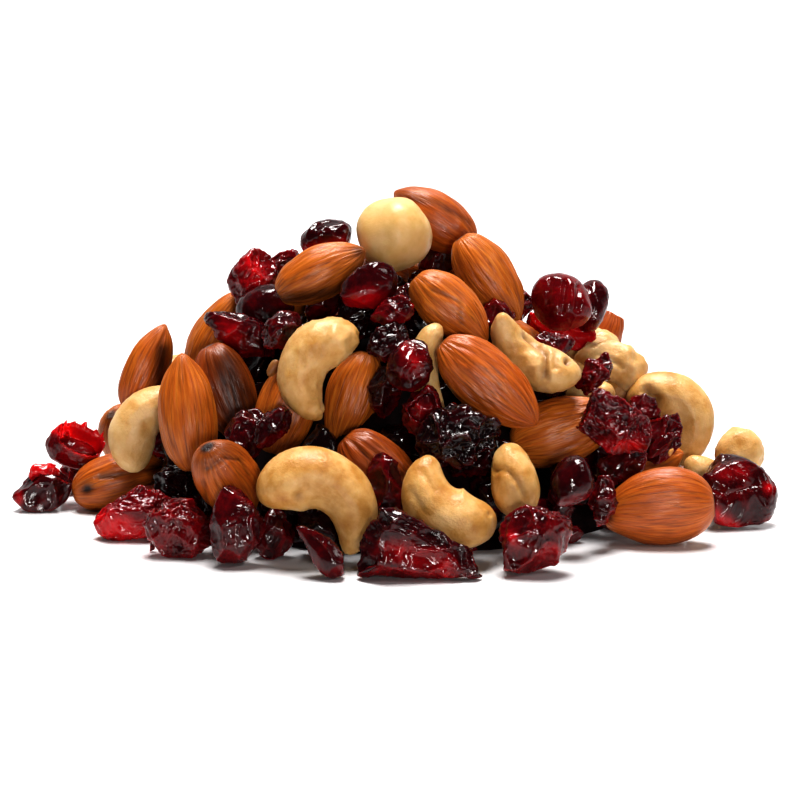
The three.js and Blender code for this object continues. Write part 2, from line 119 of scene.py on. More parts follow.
# %% What is in the front of the heap
KINDS = {"A": "almond", "C": "cashew", "H": "round nut", "R": "berry"}
FRONT = [
    ("R8", 3.3, -31.4, "floor", -13, 0, 25, (24.5, 10, 7.5)),
    ("R7", -16, -30.8, "floor", -42, 0, 30, (13.4, 9, 8)),
    ("C2", -16.6, -20, 1.5, -30, 0, 0, (8.3, 205, 7.3, 4.4)),
    ("C3", 10, -21.9, 0, 139, 0, 0, (6.4, 190, 7.2, 4.6)),
    ("C4", 23.8, -17, 0, 100, 0, 85, (5, 170, 5.2, 3.8)),
    ("R9", 27.6, -28.3, "floor", 35, 0, 15, (15.5, 12, 10)),
    ("A16", 54.6, -22.1, "floor", 184, 0, -15, (22.2, 16, 9.8)),
    ("R15", 69.4, -18.6, "floor", -32, 0, -20, (16.4, 13.4, 10)),
    ("R6", -26, -27.6, "floor", 70, 0, 0, (8.6, 7, 5.6)),
    ("R5", -34, -25.6, "floor", 96, 0, 0, (14.6, 10.6, 9)),
    ("R4", -45.9, -26.4, "floor", -8, 0, 0, (13, 10.8, 9)),
    ("R3", -54.6, -23, "floor", 20, 0, 10, (17, 10.5, 7)),
    ("R2", -74.2, -18.5, "floor", 22, 0, 0, (12.6, 8.4, 7.4)),
    ("A8", -58.8, -16.9, "floor", 15, -8, 25, (20.8, 12.2, 10.5)),
    ("R1", -67.5, -9.6, 0, -22, 0, 10, (12.8, 10.4, 6.5)),
    ("A6", -44.2, -3.1, 0, 96, 0, 0, (23.8, 11.8, 9)),
    ("R10", 36, -17, 3, 60, 0, 0, (10.6, 9, 9)),
    ("R11", 42.4, -21, 0, 80, 0, 0, (11, 6, 6.5)),
    ("A5", 18.1, 3.9, 0, -41, 0, -6, (25, 12.8, 9.2)),
    ("C1", -17.4, 7.2, 0, -115, 0, 180, (7.4, 184, 6, 4.1)),
    ("R8b", -3.3, -19.6, 0, 82, 0, 50, (15, 6, 8)),
    ("A13", -36, -16.3, 0, -60, -40, 0, (20, 12.5, 10.5)),
    ("R33", -31.8, -8.2, 0, 70, 0, 0, (11.5, 8.5, 7.5)),
    ("R33b", -26.3, -5.6, 0, 60, 0, 0, (9.5, 6, 6.5)),
    ("R32", 11.9, -7.6, 0, 25, 0, 0, (16.5, 13.4, 9.6)),
    ("R32b", 14.6, -11.9, 0, 10, 0, 0, (13, 8, 8)),
    ("A14", -4, -15.2, 0, -45, 0, 0, (21.5, 12.4, 9.4)),
    ("R12", 44, -5, 6, -28, 0, 0, (15.6, 11.2, 7)),
    ("R13", 54, -7.6, 4, 52, 0, 0, (11.5, 7.6, 6.5)),
    ("C6", 56.9, -3, 0, -54, 0, 0, (6.6, 232, 5.7, 4.2)),
    ("C8", 70.7, -10.6, 0, 200, 0, 70, (2.5, 150, 5.3, 4.6)),
    ("R14", 46.5, -13, 3, 20, 0, 0, (11, 7.6, 6.5)),
    ("A18", 50.4, -14, 0, 20, 0, 0, (17, 10, 8)),
    ("A15", 33.8, -6.5, 0, 17, 0, 0, (23, 13.5, 9.8)),
    ("C5", 26.9, 9.7, 0, 138, 0, -60, (8.3, 150, 5.9, 2.8)),
    ("R31", 4.6, -2.1, 0, 40, 0, 0, (9.5, 8.6, 8)),
    ("R29", 2.2, 7.3, 0, 75, 0, 0, (11, 8.6, 7.8)),
    ("R30", -2.5, 2.4, 0, 70, 0, 0, (11, 7, 7)),
    ("C9", 6.2, 6.3, -2, -80, 0, 180, (13, 85, 4.2, 3.6)),
    ("A11", -9.9, 0.7, 0, 250, 0, 0, (20, 10.8, 8.8)),
    ("A12", -23.3, -1.2, 0, 72, 0, 0, (21.5, 11.8, 8.6)),
    ("A9", -36.2, 1.6, 0, -70, 0, 0, (21.6, 11.8, 9.2)),
    ("C10", -52.8, -5.2, -5, 52, 0, 0, (7.6, 165, 5.3, 4.4)),
    ("A7", -52.8, 6.2, 0, 67, 0, 38, (19.6, 10, 7.6)),
    ("R23", -33.1, 13.2, 0, -28, 0, 0, (15, 8.6, 8)),
    ("R22", -28.3, 18.6, 0, 30, 0, 0, (10.4, 10, 9)),
    ("A3", 10.2, 19.4, 0, -42, 0, 0, (19.4, 11, 9.2)),
    ("A4", -16.8, 26.3, 0, 27, 0, 12, (20, 10.8, 9)),
    ("H1", -1.2, 34.5, 0, 15, 0, 0, (16, 15.6, 15.4)),
    ("A2", 18.3, 25.8, 0, -54, 0, 0, (20.8, 11, 8.4)),
    ("R25", -6.6, 23.5, 0, 30, 0, 0, (12.8, 8.6, 7.6)),
    ("R26", 1.4, 20.6, 0, 10, 0, 0, (8, 6, 5.6)),
    ("R27", -1.5, 18.4, 0, 22, 0, 0, (9, 5.4, 5.6)),
    ("R28", -2.5, 12, 0, 20, 0, 0, (9.5, 7.4, 7)),
    ("R21", -30.7, 25, 0, 60, 0, 0, (13.5, 9.4, 7.5)),
    ("A1", 7.4, 37.6, 0, 146, 0, 0, (19.6, 11.4, 9)),
    ("R16", 33.4, 20.2, 0, -10, 0, 0, (14, 11.6, 10)),
    ("R16b", 39.4, 19.6, 0, 80, 0, 0, (11.4, 7.2, 8)),
    ("R17", 33.4, 14.6, 0, -20, 0, 0, (11.5, 6.4, 6)),
    ("R18", 40.4, 5, 0, 45, 0, 0, (8, 6, 5.6)),
    ("C7", 44.2, 6.6, 0, -20, 0, 20, (5, 190, 4.3, 3.2)),
    ("C7b", 39.5, 10.5, 0, 10, 0, 40, (5, 150, 4.2, 3.4)),
    ("A10", -37.4, 13, 0, 60, 0, 0, (22, 11.8, 9.4)),
    ("A17", 41.5, 12.6, 0, 65, 0, 0, (17, 9.6, 7.4)),
    ("A19", -5.6, 26, 0, 172, 0, 0, (16, 9, 7.6)),
    ("R34", 8.6, 30.2, 0, 80, 0, 0, (8.5, 6, 6)),
    ("R19", -14.9, 33.9, 0, 8, 0, 0, (11, 7, 7)),
    ("R20", -23.5, 28.2, -3, 20, 0, 0, (7.5, 6, 6)),
    ("R36", -9, 17, 0, 20, 0, 0, (12, 9, 8)),
    ("R37", -46.6, -17, -6, 20, 0, 0, (9.6, 7.6, 6.4)),
    ("R38", -15.4, 20.2, 0, 60, 0, 0, (10, 8, 7.4)),
    ("R39", -24.6, 14.4, 0, 30, 0, 0, (9, 7.4, 7)),
]
print(len(FRONT), "pieces in front")

# %% [markdown]
# ## The form of each kind
# A piece is a unit ball that is drawn out: each form takes a direction s of the ball to
# a point of the piece, with x along its length and z through its thickness. The same
# few lines make the solid and, with more directions, the real surface.

# %% A repeatable stream of numbers, and slow unevenness
SWELL_PACES = (2.1, 2.9, 3.7)
SWELL_LEVEL = 2.2


def chance(seed):
    """numbers from 0 to 1 that are the same on every run"""
    state = seed
    while True:
        state = (state * 1664525 + 1013904223) & 0xFFFFFFFF
        yield state / 4294967296


@lru_cache(maxsize=None)
def swell_waves(seed):
    draw = chance(seed * 7919 + 17)
    waves = []
    for pace in SWELL_PACES:
        way = tuple(pace * (next(draw) * 2 - 1) for _ in range(3))
        waves.append((way, next(draw) * 2 * math.pi))
    return waves


def swell(s, seed):
    return sum(math.sin(dot(way, s) + phase) for way, phase in swell_waves(seed)) / SWELL_LEVEL


# %% The four forms
BLUNTNESS = 2.7   # 2 gives a cashew the round ends of a ball, and more gives blunter ones
TIP = 1e-9
UNEVEN_NUT, UNEVEN_BERRY = 0.025, 0.11
TAPERS = {"R8": 0.18, "R7": -0.15, "R5": 0.22}


def almond_point(s, size, seed, taper):
    x, y, z = s
    length, width, thickness = size
    narrow = 1 - 0.1 * x - 0.2 * max(0.0, x) ** 4
    return (x * length / 2, y * width / 2 * narrow, z * thickness / 2 * narrow)


def cashew_point(s, size, seed, taper):
    x, y, z = s
    bend, sweep, fat, slim = size
    angle = math.radians(sweep) / 2 * x
    along = (x + 1) / 2
    ring = 1 - x * x
    blunt = math.sqrt((1 - abs(x) ** BLUNTNESS) / ring if ring > TIP else BLUNTNESS / 2)
    radius = (fat + (slim - fat) * along) * blunt
    out = bend * (0.9 + 0.25 * along) + radius * y
    return (out * math.sin(angle), out * math.cos(angle), radius * z)


def round_nut_point(s, size, seed, taper):
    uneven = 1 + UNEVEN_NUT * swell(s, seed)
    return tuple(s[k] * size[k] / 2 * uneven for k in range(3))


def berry_point(s, size, seed, taper):
    x, y, z = s
    length, width, thickness = size
    uneven = 1 + UNEVEN_BERRY * swell(s, seed)
    narrow = uneven * (1 - taper * x)
    return (x * length / 2 * uneven, y * width / 2 * narrow, z * thickness / 2 * narrow)


FORMS = {
    "almond": almond_point,
    "cashew": cashew_point,
    "round nut": round_nut_point,
    "berry": berry_point,
}

# %% [markdown]
# ## One piece in the heap
# To settle pieces against each other quickly, each is filled with a few balls. A turn
# in the sheet, a lean out of it and a roll about the long axis say how it lies.

# %% One piece in the heap
STATIONS = (-0.88, -0.5, 0.0, 0.5, 0.88)
ROUND_ENOUGH = 0.2


def balls_of(kind, size, seed, taper):
    """balls (x, y, z, radius) along a piece, and the middle of the box round them"""
    balls = []
    for x in STATIONS:
        c = math.sqrt(1 - x * x)
        ring = [(x, c, 0.0), (x, -c, 0.0), (x, 0.0, c), (x, 0.0, -c)]
        left, right, top, under = (FORMS[kind](s, size, seed, taper) for s in ring)
        middle = [(left[i] + right[i] + top[i] + under[i]) / 4 for i in range(3)]
        half_width = math.dist(left, right) / 2
        radius = min(half_width, math.dist(top, under) / 2)
        spare = half_width - radius
        away = [(left[i] - right[i]) / (2 * half_width) * spare for i in range(3)]
        for side in (0,) if spare < ROUND_ENOUGH * radius else (-1, 1):
            balls.append((*(middle[i] + side * away[i] for i in range(3)), radius))
    low = [min(ball[i] - ball[3] for ball in balls) for i in range(3)]
    high = [max(ball[i] + ball[3] for ball in balls) for i in range(3)]
    centre = tuple((low[i] + high[i]) / 2 for i in range(3))
    return [(*add(ball[:3], centre, -1), ball[3]) for ball in balls], centre


def rotation(axis, degrees):
    c, s = math.cos(math.radians(degrees)), math.sin(math.radians(degrees))
    if axis == "x":
        return [(1, 0, 0), (0, c, -s), (0, s, c)]
    if axis == "y":
        return [(c, 0, s), (0, 1, 0), (-s, 0, c)]
    return [(c, -s, 0), (s, c, 0), (0, 0, 1)]


def times(a, b):
    return [tuple(sum(a[i][k] * b[k][j] for k in range(3)) for j in range(3)) for i in range(3)]


def turned(right, up, toward, turn, lean, roll):
    basis = [(right[i], up[i], toward[i]) for i in range(3)]
    leant = times(rotation("y", -lean), rotation("x", roll))
    return times(basis, times(rotation("z", turn), leant))


class Piece:
    """A nut or berry: what it is, how it is turned, and where its middle lies."""

    def __init__(self, name, kind, size, turning, seed):
        self.name, self.kind, self.size, self.seed, self.turning = name, kind, size, seed, turning
        self.taper = TAPERS.get(name, 0.0)
        balls, self.middle = balls_of(kind, size, seed, self.taper)
        self.balls = [(*(dot(row, ball) for row in turning), ball[3]) for ball in balls]
        self.low = max(ball[3] - ball[2] for ball in self.balls)
        self.reach = max(math.sqrt(dot(ball, ball)) + ball[3] for ball in self.balls)
        self.at = None

    def pressed(self, at, seated):
        """the deepest that this piece with its middle at `at` sinks into a seated one"""
        worst = 0.0
        for other in seated:
            apart = add(at, other.at, -1)
            if dot(apart, apart) > (self.reach + other.reach) ** 2:
                continue
            for a in self.balls:
                ax, ay, az = a[0] + apart[0], a[1] + apart[1], a[2] + apart[2]
                for b in other.balls:
                    gap = math.sqrt((ax - b[0]) ** 2 + (ay - b[1]) ** 2 + (az - b[2]) ** 2)
                    worst = max(worst, a[3] + b[3] - gap)
        return worst


# %% [markdown]
# ## Laying the heap
# The pieces' middles lie on a mound. A front piece starts at the mound's surface on its
# line of sight and slides back until no piece in front of it is in its way, as a person
# would push it in. A physics simulation could drop the pieces instead, but it would
# lose the places that the front ones have.

# %% Laying the front
MOUND = {"half_width": 69, "half_depth": 54, "height": 57, "power": 1.6}
PRESSED = 0.6
SLIDE_STEP = 0.5
LONGEST_SLIDE = 60
SEARCH_FROM, SEARCH_TO = 90, -70


def mound_field(p):
    radius = math.hypot(p[0] / MOUND["half_width"], p[1] / MOUND["half_depth"])
    return p[2] / MOUND["height"] + radius ** MOUND["power"] - 1


def surface_on(start, way):
    """how far out along a line of sight the mound's surface is, or comes nearest"""
    best_field, best_out, out = math.inf, 0, SEARCH_FROM
    while out > SEARCH_TO:
        field = mound_field(add(start, way, out))
        if field <= 0:
            return out
        if field < best_field:
            best_field, best_out = field, out
        out -= SLIDE_STEP
    return best_out


def seat_front():
    seated = []
    for k, (name, across, up, seat, turn, lean, roll, size) in enumerate(FRONT):
        turning = turned(RIGHT, UP, TOWARD, turn, lean, roll)
        piece = Piece(name, KINDS[name[0]], size, turning, k + 1)
        start = add(add(SHEET_MIDDLE, RIGHT, across), UP, up)
        way = unit(add(EYE, start, -1))
        on_table = (piece.low - start[2]) / way[2]
        out = on_table
        if seat != "floor":
            out = surface_on(start, way) + seat
            last = out - LONGEST_SLIDE
            while out > last and piece.pressed(add(start, way, out), seated) > PRESSED:
                out -= SLIDE_STEP
            out = max(out, on_table)
        piece.at = add(start, way, out)
        seated.append(piece)
    return seated


# %% [markdown]
# The sides, the back and the top are laid by rule: spots spiral out over the mound, and
# each takes a piece where there is still room. The first round lays large pieces and
# the second fills up with berries. Two more rounds, which the solid leaves out, lie
# deeper, so that a look into a gap meets another piece and not the bare core. The last
# is of small berries, on the sides that the person at the table sees. Only berries are
# small enough to find room in these two.

# %% Laying the rest
ROUNDS = [
    {"spots": 150, "seed": 4, "almonds": 0.62, "cashews": 0.38, "first": 0, "last": 10},
    {"spots": 560, "seed": 9, "almonds": 0.06, "cashews": 0.06, "first": 0, "last": 10},
]
DEEP_ROUNDS = [
    {"spots": 900, "seed": 21, "almonds": 0.16, "cashews": 0, "first": 6, "last": 24},
    {"spots": 1500, "seed": 33, "almonds": 0, "cashews": 0, "first": 8, "last": 18, "bulk": 0.64},
]
SPOT_SPREAD = 1.04
SPOT_JITTER = 0.5
GOLDEN_ANGLE = math.pi * (3 - math.sqrt(5))
LEAN_RANGE, ROLL_RANGE = 50, 60
FAR_SIDE = 0.2 * MOUND["half_depth"]
SEEDS_PER_ROUND = 100
FRONT_EDGE = {"y": 12, "rise": 0.25, "flank": 38, "swing": 0.6}
RULE_SIZES = {
    "almond": ((19.5, 11, 8.4), (5, 2.4, 1.4)),
    "cashew": ((6.2, 165, 5.2, 3.8), (1.4, 50, 1.4, 0.8)),
    "berry": ((10, 8, 6.5), (6, 3, 2)),
}


def before_edge(x, y, z):
    edge = FRONT_EDGE["y"] - FRONT_EDGE["rise"] * z
    return y < edge - FRONT_EDGE["swing"] * max(0.0, abs(x) - FRONT_EDGE["flank"])


def outward_at(x, y, inside):
    """which way the mound's surface faces, at a share `inside` of the way to its foot"""
    steep = MOUND["height"] * MOUND["power"] * inside ** (MOUND["power"] - 2)
    across, back = steep * x / MOUND["half_width"] ** 2, steep * y / MOUND["half_depth"] ** 2
    return unit((across, back, 1.0))


def seat_round(spots, seed, almonds, cashews, first, last, seated, bulk=1.0):
    draw = chance(seed)
    deep = first > 0
    for k in range(spots):
        radius = math.sqrt((k + 0.5) / spots) * SPOT_SPREAD
        angle = k * GOLDEN_ANGLE + SPOT_JITTER * (next(draw) - 0.5)
        sort, turn, lean, roll, big = (next(draw) for _ in range(5))
        x = radius * MOUND["half_width"] * math.cos(angle)
        y = radius * MOUND["half_depth"] * math.sin(angle)
        inside = min(radius, 1.0)
        z = MOUND["height"] * (1 - inside ** MOUND["power"])
        if not deep and before_edge(x, y, z):
            continue
        outward = outward_at(x, y, inside)
        side = unit(cross((0.0, 0.0, 1.0), outward))
        kind = "almond" if sort < almonds else "cashew" if sort < almonds + cashews else "berry"
        least, more = RULE_SIZES[kind]
        size = tuple(bulk * (value + more[i] * big) for i, value in enumerate(least))
        angles = (turn * 360, (lean - 0.5) * LEAN_RANGE, (roll - 0.5) * ROLL_RANGE)
        turning = turned(side, cross(outward, side), outward, *angles)
        name = f"{'D' if deep else 'B'}{k}"
        piece = Piece(name, kind, size, turning, SEEDS_PER_ROUND * seed + k)
        if bulk < 1 and y > FAR_SIDE:
            continue
        for depth in range(first, last + 1):
            at = add((x, y, z), outward, -depth)
            if deep and at[2] < piece.low:
                break
            at = (at[0], at[1], max(at[2], piece.low))
            if piece.pressed(at, seated) <= PRESSED:
                piece.at = at
                seated.append(piece)
                break


heap = seat_front()
for heap_round in ROUNDS:
    seat_round(**heap_round, seated=heap)
outer_count = len(heap)
for heap_round in DEEP_ROUNDS:
    seat_round(**heap_round, seated=heap)
print(outer_count, "pieces lie open,", len(heap) - outer_count, "lie deeper")

# %% [markdown]
# ## Small pieces
# Chips, crumbs and a second lump on a berry are too small for the solid, and so are the
# bits that close gaps between large pieces. Each lies on the table, or as deep as the
# piece that its row names, and that many millimetres nearer to the person (less than
# nothing is behind it). Each row also says its kind, and the rest of it is as above.

# %% Small pieces
FIRST_SMALL_SEED = 900
SMALL = [
    ("R2b", "berry", -73.9, -15.4, "R2", 0.4, 14, 0, 0, (6.6, 5, 4.6)),
    ("R13b", "berry", 54.4, -9.4, "R13", 3.2, 44, 0, 0, (7.4, 2.8, 2.8)),
    ("R11b", "berry", 35.8, -28.1, "floor", 0, 25, 0, 0, (4.6, 3.2, 2.8)),
    ("R4b", "berry", -51.6, -30.4, "floor", 0, 70, 0, 0, (2.2, 1.5, 1.3)),
    ("R8c", "berry", 15.3, -30.9, "floor", 0, 0, 0, 0, (1.5, 0.9, 0.8)),
    ("C11", "cashew chip", -26.4, 6.6, "A12", 3.0, 60, 0, 0, (3.6, 2.2, 1.6)),
    ("C7c", "cashew chip", 47, 0.6, "C6", -3, -40, 0, 0, (11, 7.5, 5)),
    ("R13c", "berry", 50.6, -2.2, "R13", -3, 10, 0, 0, (8, 6.4, 5)),
    ("R40", "berry", 19.2, 17.1, "A3", -8, 10, 0, 0, (9, 7, 6)),
    ("R41", "berry", 31.8, 11.2, "C5", -8, 10, 0, 0, (8, 6, 5)),
    ("C12", "cashew chip", 41.3, -25.5, "floor", 0, -35, 0, 0, (1.8, 1.3, 1.0)),
    ("C13", "cashew chip", 56.4, -10.9, "R14", 3.0, 60, 0, 0, (1.6, 0.9, 0.8)),
]
FORMS["cashew chip"] = berry_point


def seat_small():
    seated = {piece.name: piece for piece in heap}
    for k, (name, kind, across, up, seat, nearer, turn, lean, roll, size) in enumerate(SMALL):
        turning = turned(RIGHT, UP, TOWARD, turn, lean, roll)
        piece = Piece(name, kind, size, turning, FIRST_SMALL_SEED + k)
        start = add(add(SHEET_MIDDLE, RIGHT, across), UP, up)
        way = unit(add(EYE, start, -1))
        if seat == "floor":
            out = (piece.low - start[2]) / way[2]
        else:
            out = dot(add(seated[seat].at, start, -1), way) + nearer
        piece.at = add(start, way, out)
        heap.append(piece)


seat_small()
print(len(SMALL), "small pieces")

# %% [markdown]
# ## Marks
# Dents, folds, darker or lighter patches and bare red flesh are marks on single pieces. A
# mark is a path on the sheet with a half-width, how deep it presses the surface in (less
# than nothing raises it) and how strongly it darkens a nut or reddens a berry (less than
# nothing lightens it). It falls on the side that faces the sheet. Part of this colour is
# the piece's own, such as an almond's scar or a berry's bare flesh; part is painted:
# shade in folds, dents and dimples and on pieces that lie in shade, a highlight on a
# fold, and on berries red light that has come through their lower and thinner parts.

# %% Marks
FACING_GAIN = 2.5   # full strength up to 66 degrees from the sheet, and nothing on the far side
MARKS = {
    "A1": [(((0, 42.5), (8, 41), (14.6, 37)), 0.9, 0.15, 0.45)],
    "A3": [(((6.5, 23), (12.5, 20.5), (12.8, 16)), 0.45, 0.25, 0.4)],
    "A4": [
        (((-24.5, 20.5), (-11.5, 22.7)), 2.0, 0, 0.75),
        (((-8.3, 31),), 1.6, 0, 0.7),
    ],
    "A5": [(((27.4, -4.6),), 0.8, 0, -0.6)],
    "A7": [(((-49.3, 10.5), (-50.6, 1)), 1.5, 0, 0.8)],
    "A8": [
        (((-65.3, -18.6),), 1.3, 0.35, 1.0),
        # A8's wrinkle is darkened as painted shade beneath its fold.
        (((-62.5, -16), (-56, -15.2), (-49.3, -13.6)), 0.75, 0.6, 0.55),
        (((-60, -13.6), (-52.5, -12.2)), 1.0, -0.3, 0),
    ],
    # A9 lies in shade: its broad darkening is painted shade.
    "A9": [(((-36, 7), (-31, -9)), 5.5, 0, 0.8)],
    # A12's fold is raised and painted lighter along it, as a painted highlight.
    "A12": [(((-25.6, 5), (-27, -5)), 0.9, -0.3, -0.5)],
    "A13": [
        (((-41, -13), (-37, -9.6), (-31.5, -8.6)), 2.4, 0, 0.4),
        (((-40.5, -14.6), (-36.5, -12), (-33, -12.4), (-31.4, -15.5)), 0.4, 0.35, 0.4),
        (((-41, -17), (-40.2, -22.5)), 0.5, 0.3, 0.5),
    ],
    # C11 lies in the shadow of C1: its darkening is painted shade.
    "C11": [(((-26.2, 6.6),), 4, 0, 0.9)],
    # A14 lies in shade: its broad darkening is painted shade.
    "A14": [(((-7, -11), (-1, -18)), 6, 0, 0.35)],
    "R29": [(((0.6, 11), (3.4, 7)), 2.0, 0, 0.3)],
    "A16": [(((43.6, -24.6),), 0.9, 0.2, 0.8)],
    # On the cashews, a darkening in a fold, dent or dimple is painted shade in that hollow.
    "C1": [
        (((-15.4, 14.6), (-16.3, 9.5)), 0.8, 0.45, 0.1),
        (((-19.2, 17.6), (-17.9, 18.3)), 1.0, -0.5, 0),
        (((-13, 13), (-12.4, 11)), 1.8, -0.9, 0),
    ],
    "C2": [
        (((-21.1, -20.2),), 1.0, 0.9, 0.45),
        (((-18.2, -18.8), (-14.6, -21.8)), 2.2, 0.5, 0.1),
    ],
    "C3": [
        (((4.8, -15.2), (7.2, -19)), 0.6, 0.35, 0.05),
        (((2.6, -19.4), (4.6, -23)), 0.7, 0.4, 0.05),
        (((18.7, -23.5),), 0.45, 0.3, 0.8),
    ],
    "C4": [
        (((19.3, -14.5), (22.1, -14.4), (24.4, -16.7), (25.9, -19.8)), 0.55, 0.7, 0.3),
        (((22.3, -10.2),), 1.2, -0.5, 0),
    ],
    "C5": [
        (((26.6, 13.4), (30.3, 9.9), (29.9, 4.6)), 1.0, 1.2, 0.6),
        (((32.6, 11.2), (32.4, 6.9)), 0.8, 0.6, 0.3),
        (((35.1, 8.1),), 0.8, 1.3, 0.9),
        (((31, 13), (29.6, 11.2)), 1.0, -0.5, 0),
    ],
    "C6": [
        (((51.2, 2.1), (53.2, 0.2), (52.4, -2.0), (50, -4.2)), 1.0, 1.9, 0.6),
        (((56, -1.2), (54.4, -4)), 1.6, -0.6, 0),
    ],
    "C7": [
        (((42, 9.5), (46, 7)), 0.8, 0.9, 0.2),
        (((47.5, 9.6),), 1.0, -1.0, 0),
    ],
    "R1": [(((-71.6, -5.4), (-67.2, -7), (-62.4, -9.4)), 1.5, 0, 1.0)],
    "R2": [(((-79.4, -20),), 1.0, 0, 0.5)],
    "R3": [(((-61.5, -25.4), (-55, -27.4), (-50.5, -27)), 2.8, 0, 0.45)],
    "R8": [(((-2, -31), (4, -32.4), (9.5, -34)), 2.4, 0.3, 0.35)],
    "R9": [(((23.6, -28.6),), 1.3, 0, 0.4), (((30, -23.8), (26.2, -27.4)), 0.8, -0.6, 0)],
    "R12": [(((42.5, -9.6), (49, -9.4)), 1.6, 0, 0.35)],
    "R15": [
        (((63.8, -17.6), (68.5, -19.6), (73.8, -17.6)), 1.0, 1.0, 0.1),
        (((67.4, -15.6), (71, -15)), 1.8, -0.3, 0.25),
        (((76.8, -18.2),), 1.2, 0, 0.5),
        (((66.5, -22.5), (70, -25)), 1.4, 0, 0.4),
    ],
    "R16": [
        (((34.6, 24.6), (33.8, 18.5)), 0.6, 0.7, 0),
        (((31.4, 25), (30.6, 20)), 0.5, 0.4, 0),
        (((37.4, 24), (37, 19)), 0.7, 0.9, 0),
    ],
    "R17": [(((29.8, 15.8), (33.5, 14.4), (37.8, 11.4)), 2.2, 0.4, 0.5)],
    "R19": [(((-19.6, 31), (-12, 32.6)), 1.3, 0, 0.8)],
    "R21": [(((-31.3, 28.5), (-29, 22)), 2.4, 0, 0.35)],
    "R23": [(((-36.8, 15.5), (-34, 13)), 1.9, 0, 0.4)],
    "R25": [(((-11, 20), (-5, 21.4)), 2.2, 0.2, 0.35)],
    "R31": [(((4.4, -2.4),), 2.2, 0.4, 0.2)],
    "R33b": [(((-25.2, -4.2),), 1.4, 0.3, 0)],
}


def to_path(across, up, path):
    """how far a point of the sheet is from a path on it"""
    nearest = math.hypot(across - path[0][0], up - path[0][1])
    for (ax, ay), (bx, by) in zip(path, path[1:]):
        right, high = bx - ax, by - ay
        along = ((across - ax) * right + (up - ay) * high) / (right ** 2 + high ** 2)
        along = min(1.0, max(0.0, along))
        apart = math.hypot(across - ax - along * right, up - ay - along * high)
        nearest = min(nearest, apart)
    return nearest


def marks_on(name, point, normal):
    """how far a point of a piece is pressed in, and how far it is darkened or reddened (stains,
    painted shade and painted light), from its marks
    """
    facing = min(1.0, max(0.0, FACING_GAIN * dot(normal, TOWARD)))
    if name not in MARKS or facing == 0.0:
        return 0.0, 0.0
    from_middle = add(point, SHEET_MIDDLE, -1)
    nearness = EYE_DISTANCE / (EYE_DISTANCE - dot(from_middle, TOWARD))
    across, up = dot(from_middle, RIGHT) * nearness, dot(from_middle, UP) * nearness
    press = stain = 0.0
    for path, half_width, depth, strength in MARKS[name]:
        share = facing * math.exp(-((to_path(across, up, path) / half_width) ** 2))
        press += depth * share
        stain += strength * share
    return press, stain


print(sum(len(marks) for marks in MARKS.values()), "marks on", len(MARKS), "pieces")

# %% [markdown]
# Some outlines run out to a corner, a flap or a second lump. A pull draws what lies near
# a point of the sheet away from the piece's middle.

# %% Pulls
PULLS = {
    "A16": [((42.4, -25), 1.3, 2.6)],
    "C5": [((36.6, 5.6), 1.9, 4.0)],
    "R2": [((-80.2, -19.6), 0.6, 2.0)],
    "R7": [((-21.4, -26.2), 1.2, 2.2), ((-13.6, -36.4), 0.8, 2.5)],
    "R8": [((14.8, -36.2), 1.0, 2.5), ((-8.6, -35), 1.0, 3.0), ((-3, -26.8), 1.0, 3.0)],
    "R12": [((37.6, 1), 0.8, 2.5), ((49.4, -9.6), 0.9, 2.6)],
    "R13": [((55.6, 1.2), 1.2, 1.6), ((58.6, -1.4), 1.0, 1.4)],
    "R15": [((77.6, -18.6), 2.0, 1.9)],
    "R16b": [((43.2, 22.8), 0.8, 2.0)],
    "R18": [((41.4, 9.6), 2.6, 1.2), ((38.6, 8), 1.6, 1.0), ((44, 4), 1.4, 1.2)],
    "R19": [((-19.6, 30.2), 0.8, 2.0)],
    "R23": [((-40, 17.4), 0.9, 2.0)],
}


def pulled(piece, point):
    """a point of a piece after its pulls"""
    for (across, up), reach, half_width in PULLS.get(piece.name, ()):
        apart = add(point, SHEET_MIDDLE, -1)
        off = math.hypot(dot(apart, RIGHT) - across, dot(apart, UP) - up)
        near = math.exp(-(off / half_width) ** 2)
        middle = add(piece.at, SHEET_MIDDLE, -1)
        right, high = across - dot(middle, RIGHT), up - dot(middle, UP)
        share = reach * near / math.hypot(right, high)
        point = add(add(point, RIGHT, right * share), UP, high * share)
    return point


print(sum(len(pulls) for pulls in PULLS.values()), "pulls on", len(PULLS), "pieces")

# %% [markdown]
# ## From a ball to a piece
# Each kind is one joined mesh. A piece starts as a ball from a mesh operator, its points
# are moved to the piece's form, and then pushed along their normals as a sculptor would
# for the relief. What the surface has at each point is kept with the mesh for the
# materials: `grain`, a place on the piece in its own lengths, `tone`, which differs
# from piece to piece, and a darkening or reddening: real stains and scars, together with
# painted shade in folds and on pieces in shade, and on berries painted red light that
# has come through the flesh.

# %% From a ball to a piece
FLOOR_GAP = 0.05
# A9 and A14 have the darkest tone partly as painted shade, for they lie in shade.
TONES = {
    "A1": 0.1, "A2": 0.5, "A3": 0.5, "A4": 0.5, "A5": 0.15, "A6": 0.4, "A7": 0.2, "A8": 0.2,
    "A9": 0.0, "A10": 0.5, "A11": 0.5, "A12": 0.4, "A13": 0.2, "A14": 0.0, "A15": 0.4,
    "A16": 0.15, "A17": 0.0, "C10": 0.9,
}
SLUMP = 1.8
SETTLES_UP_TO = 1.5   # a berry whose middle is this many times higher than it needs is on others
SMOOTHED_BENDS = {"C3": 14}   # how often the inner side is smoothed
INNER_SIDE = -0.3
ON_X = Matrix.Rotation(math.radians(90), 4, "Y")


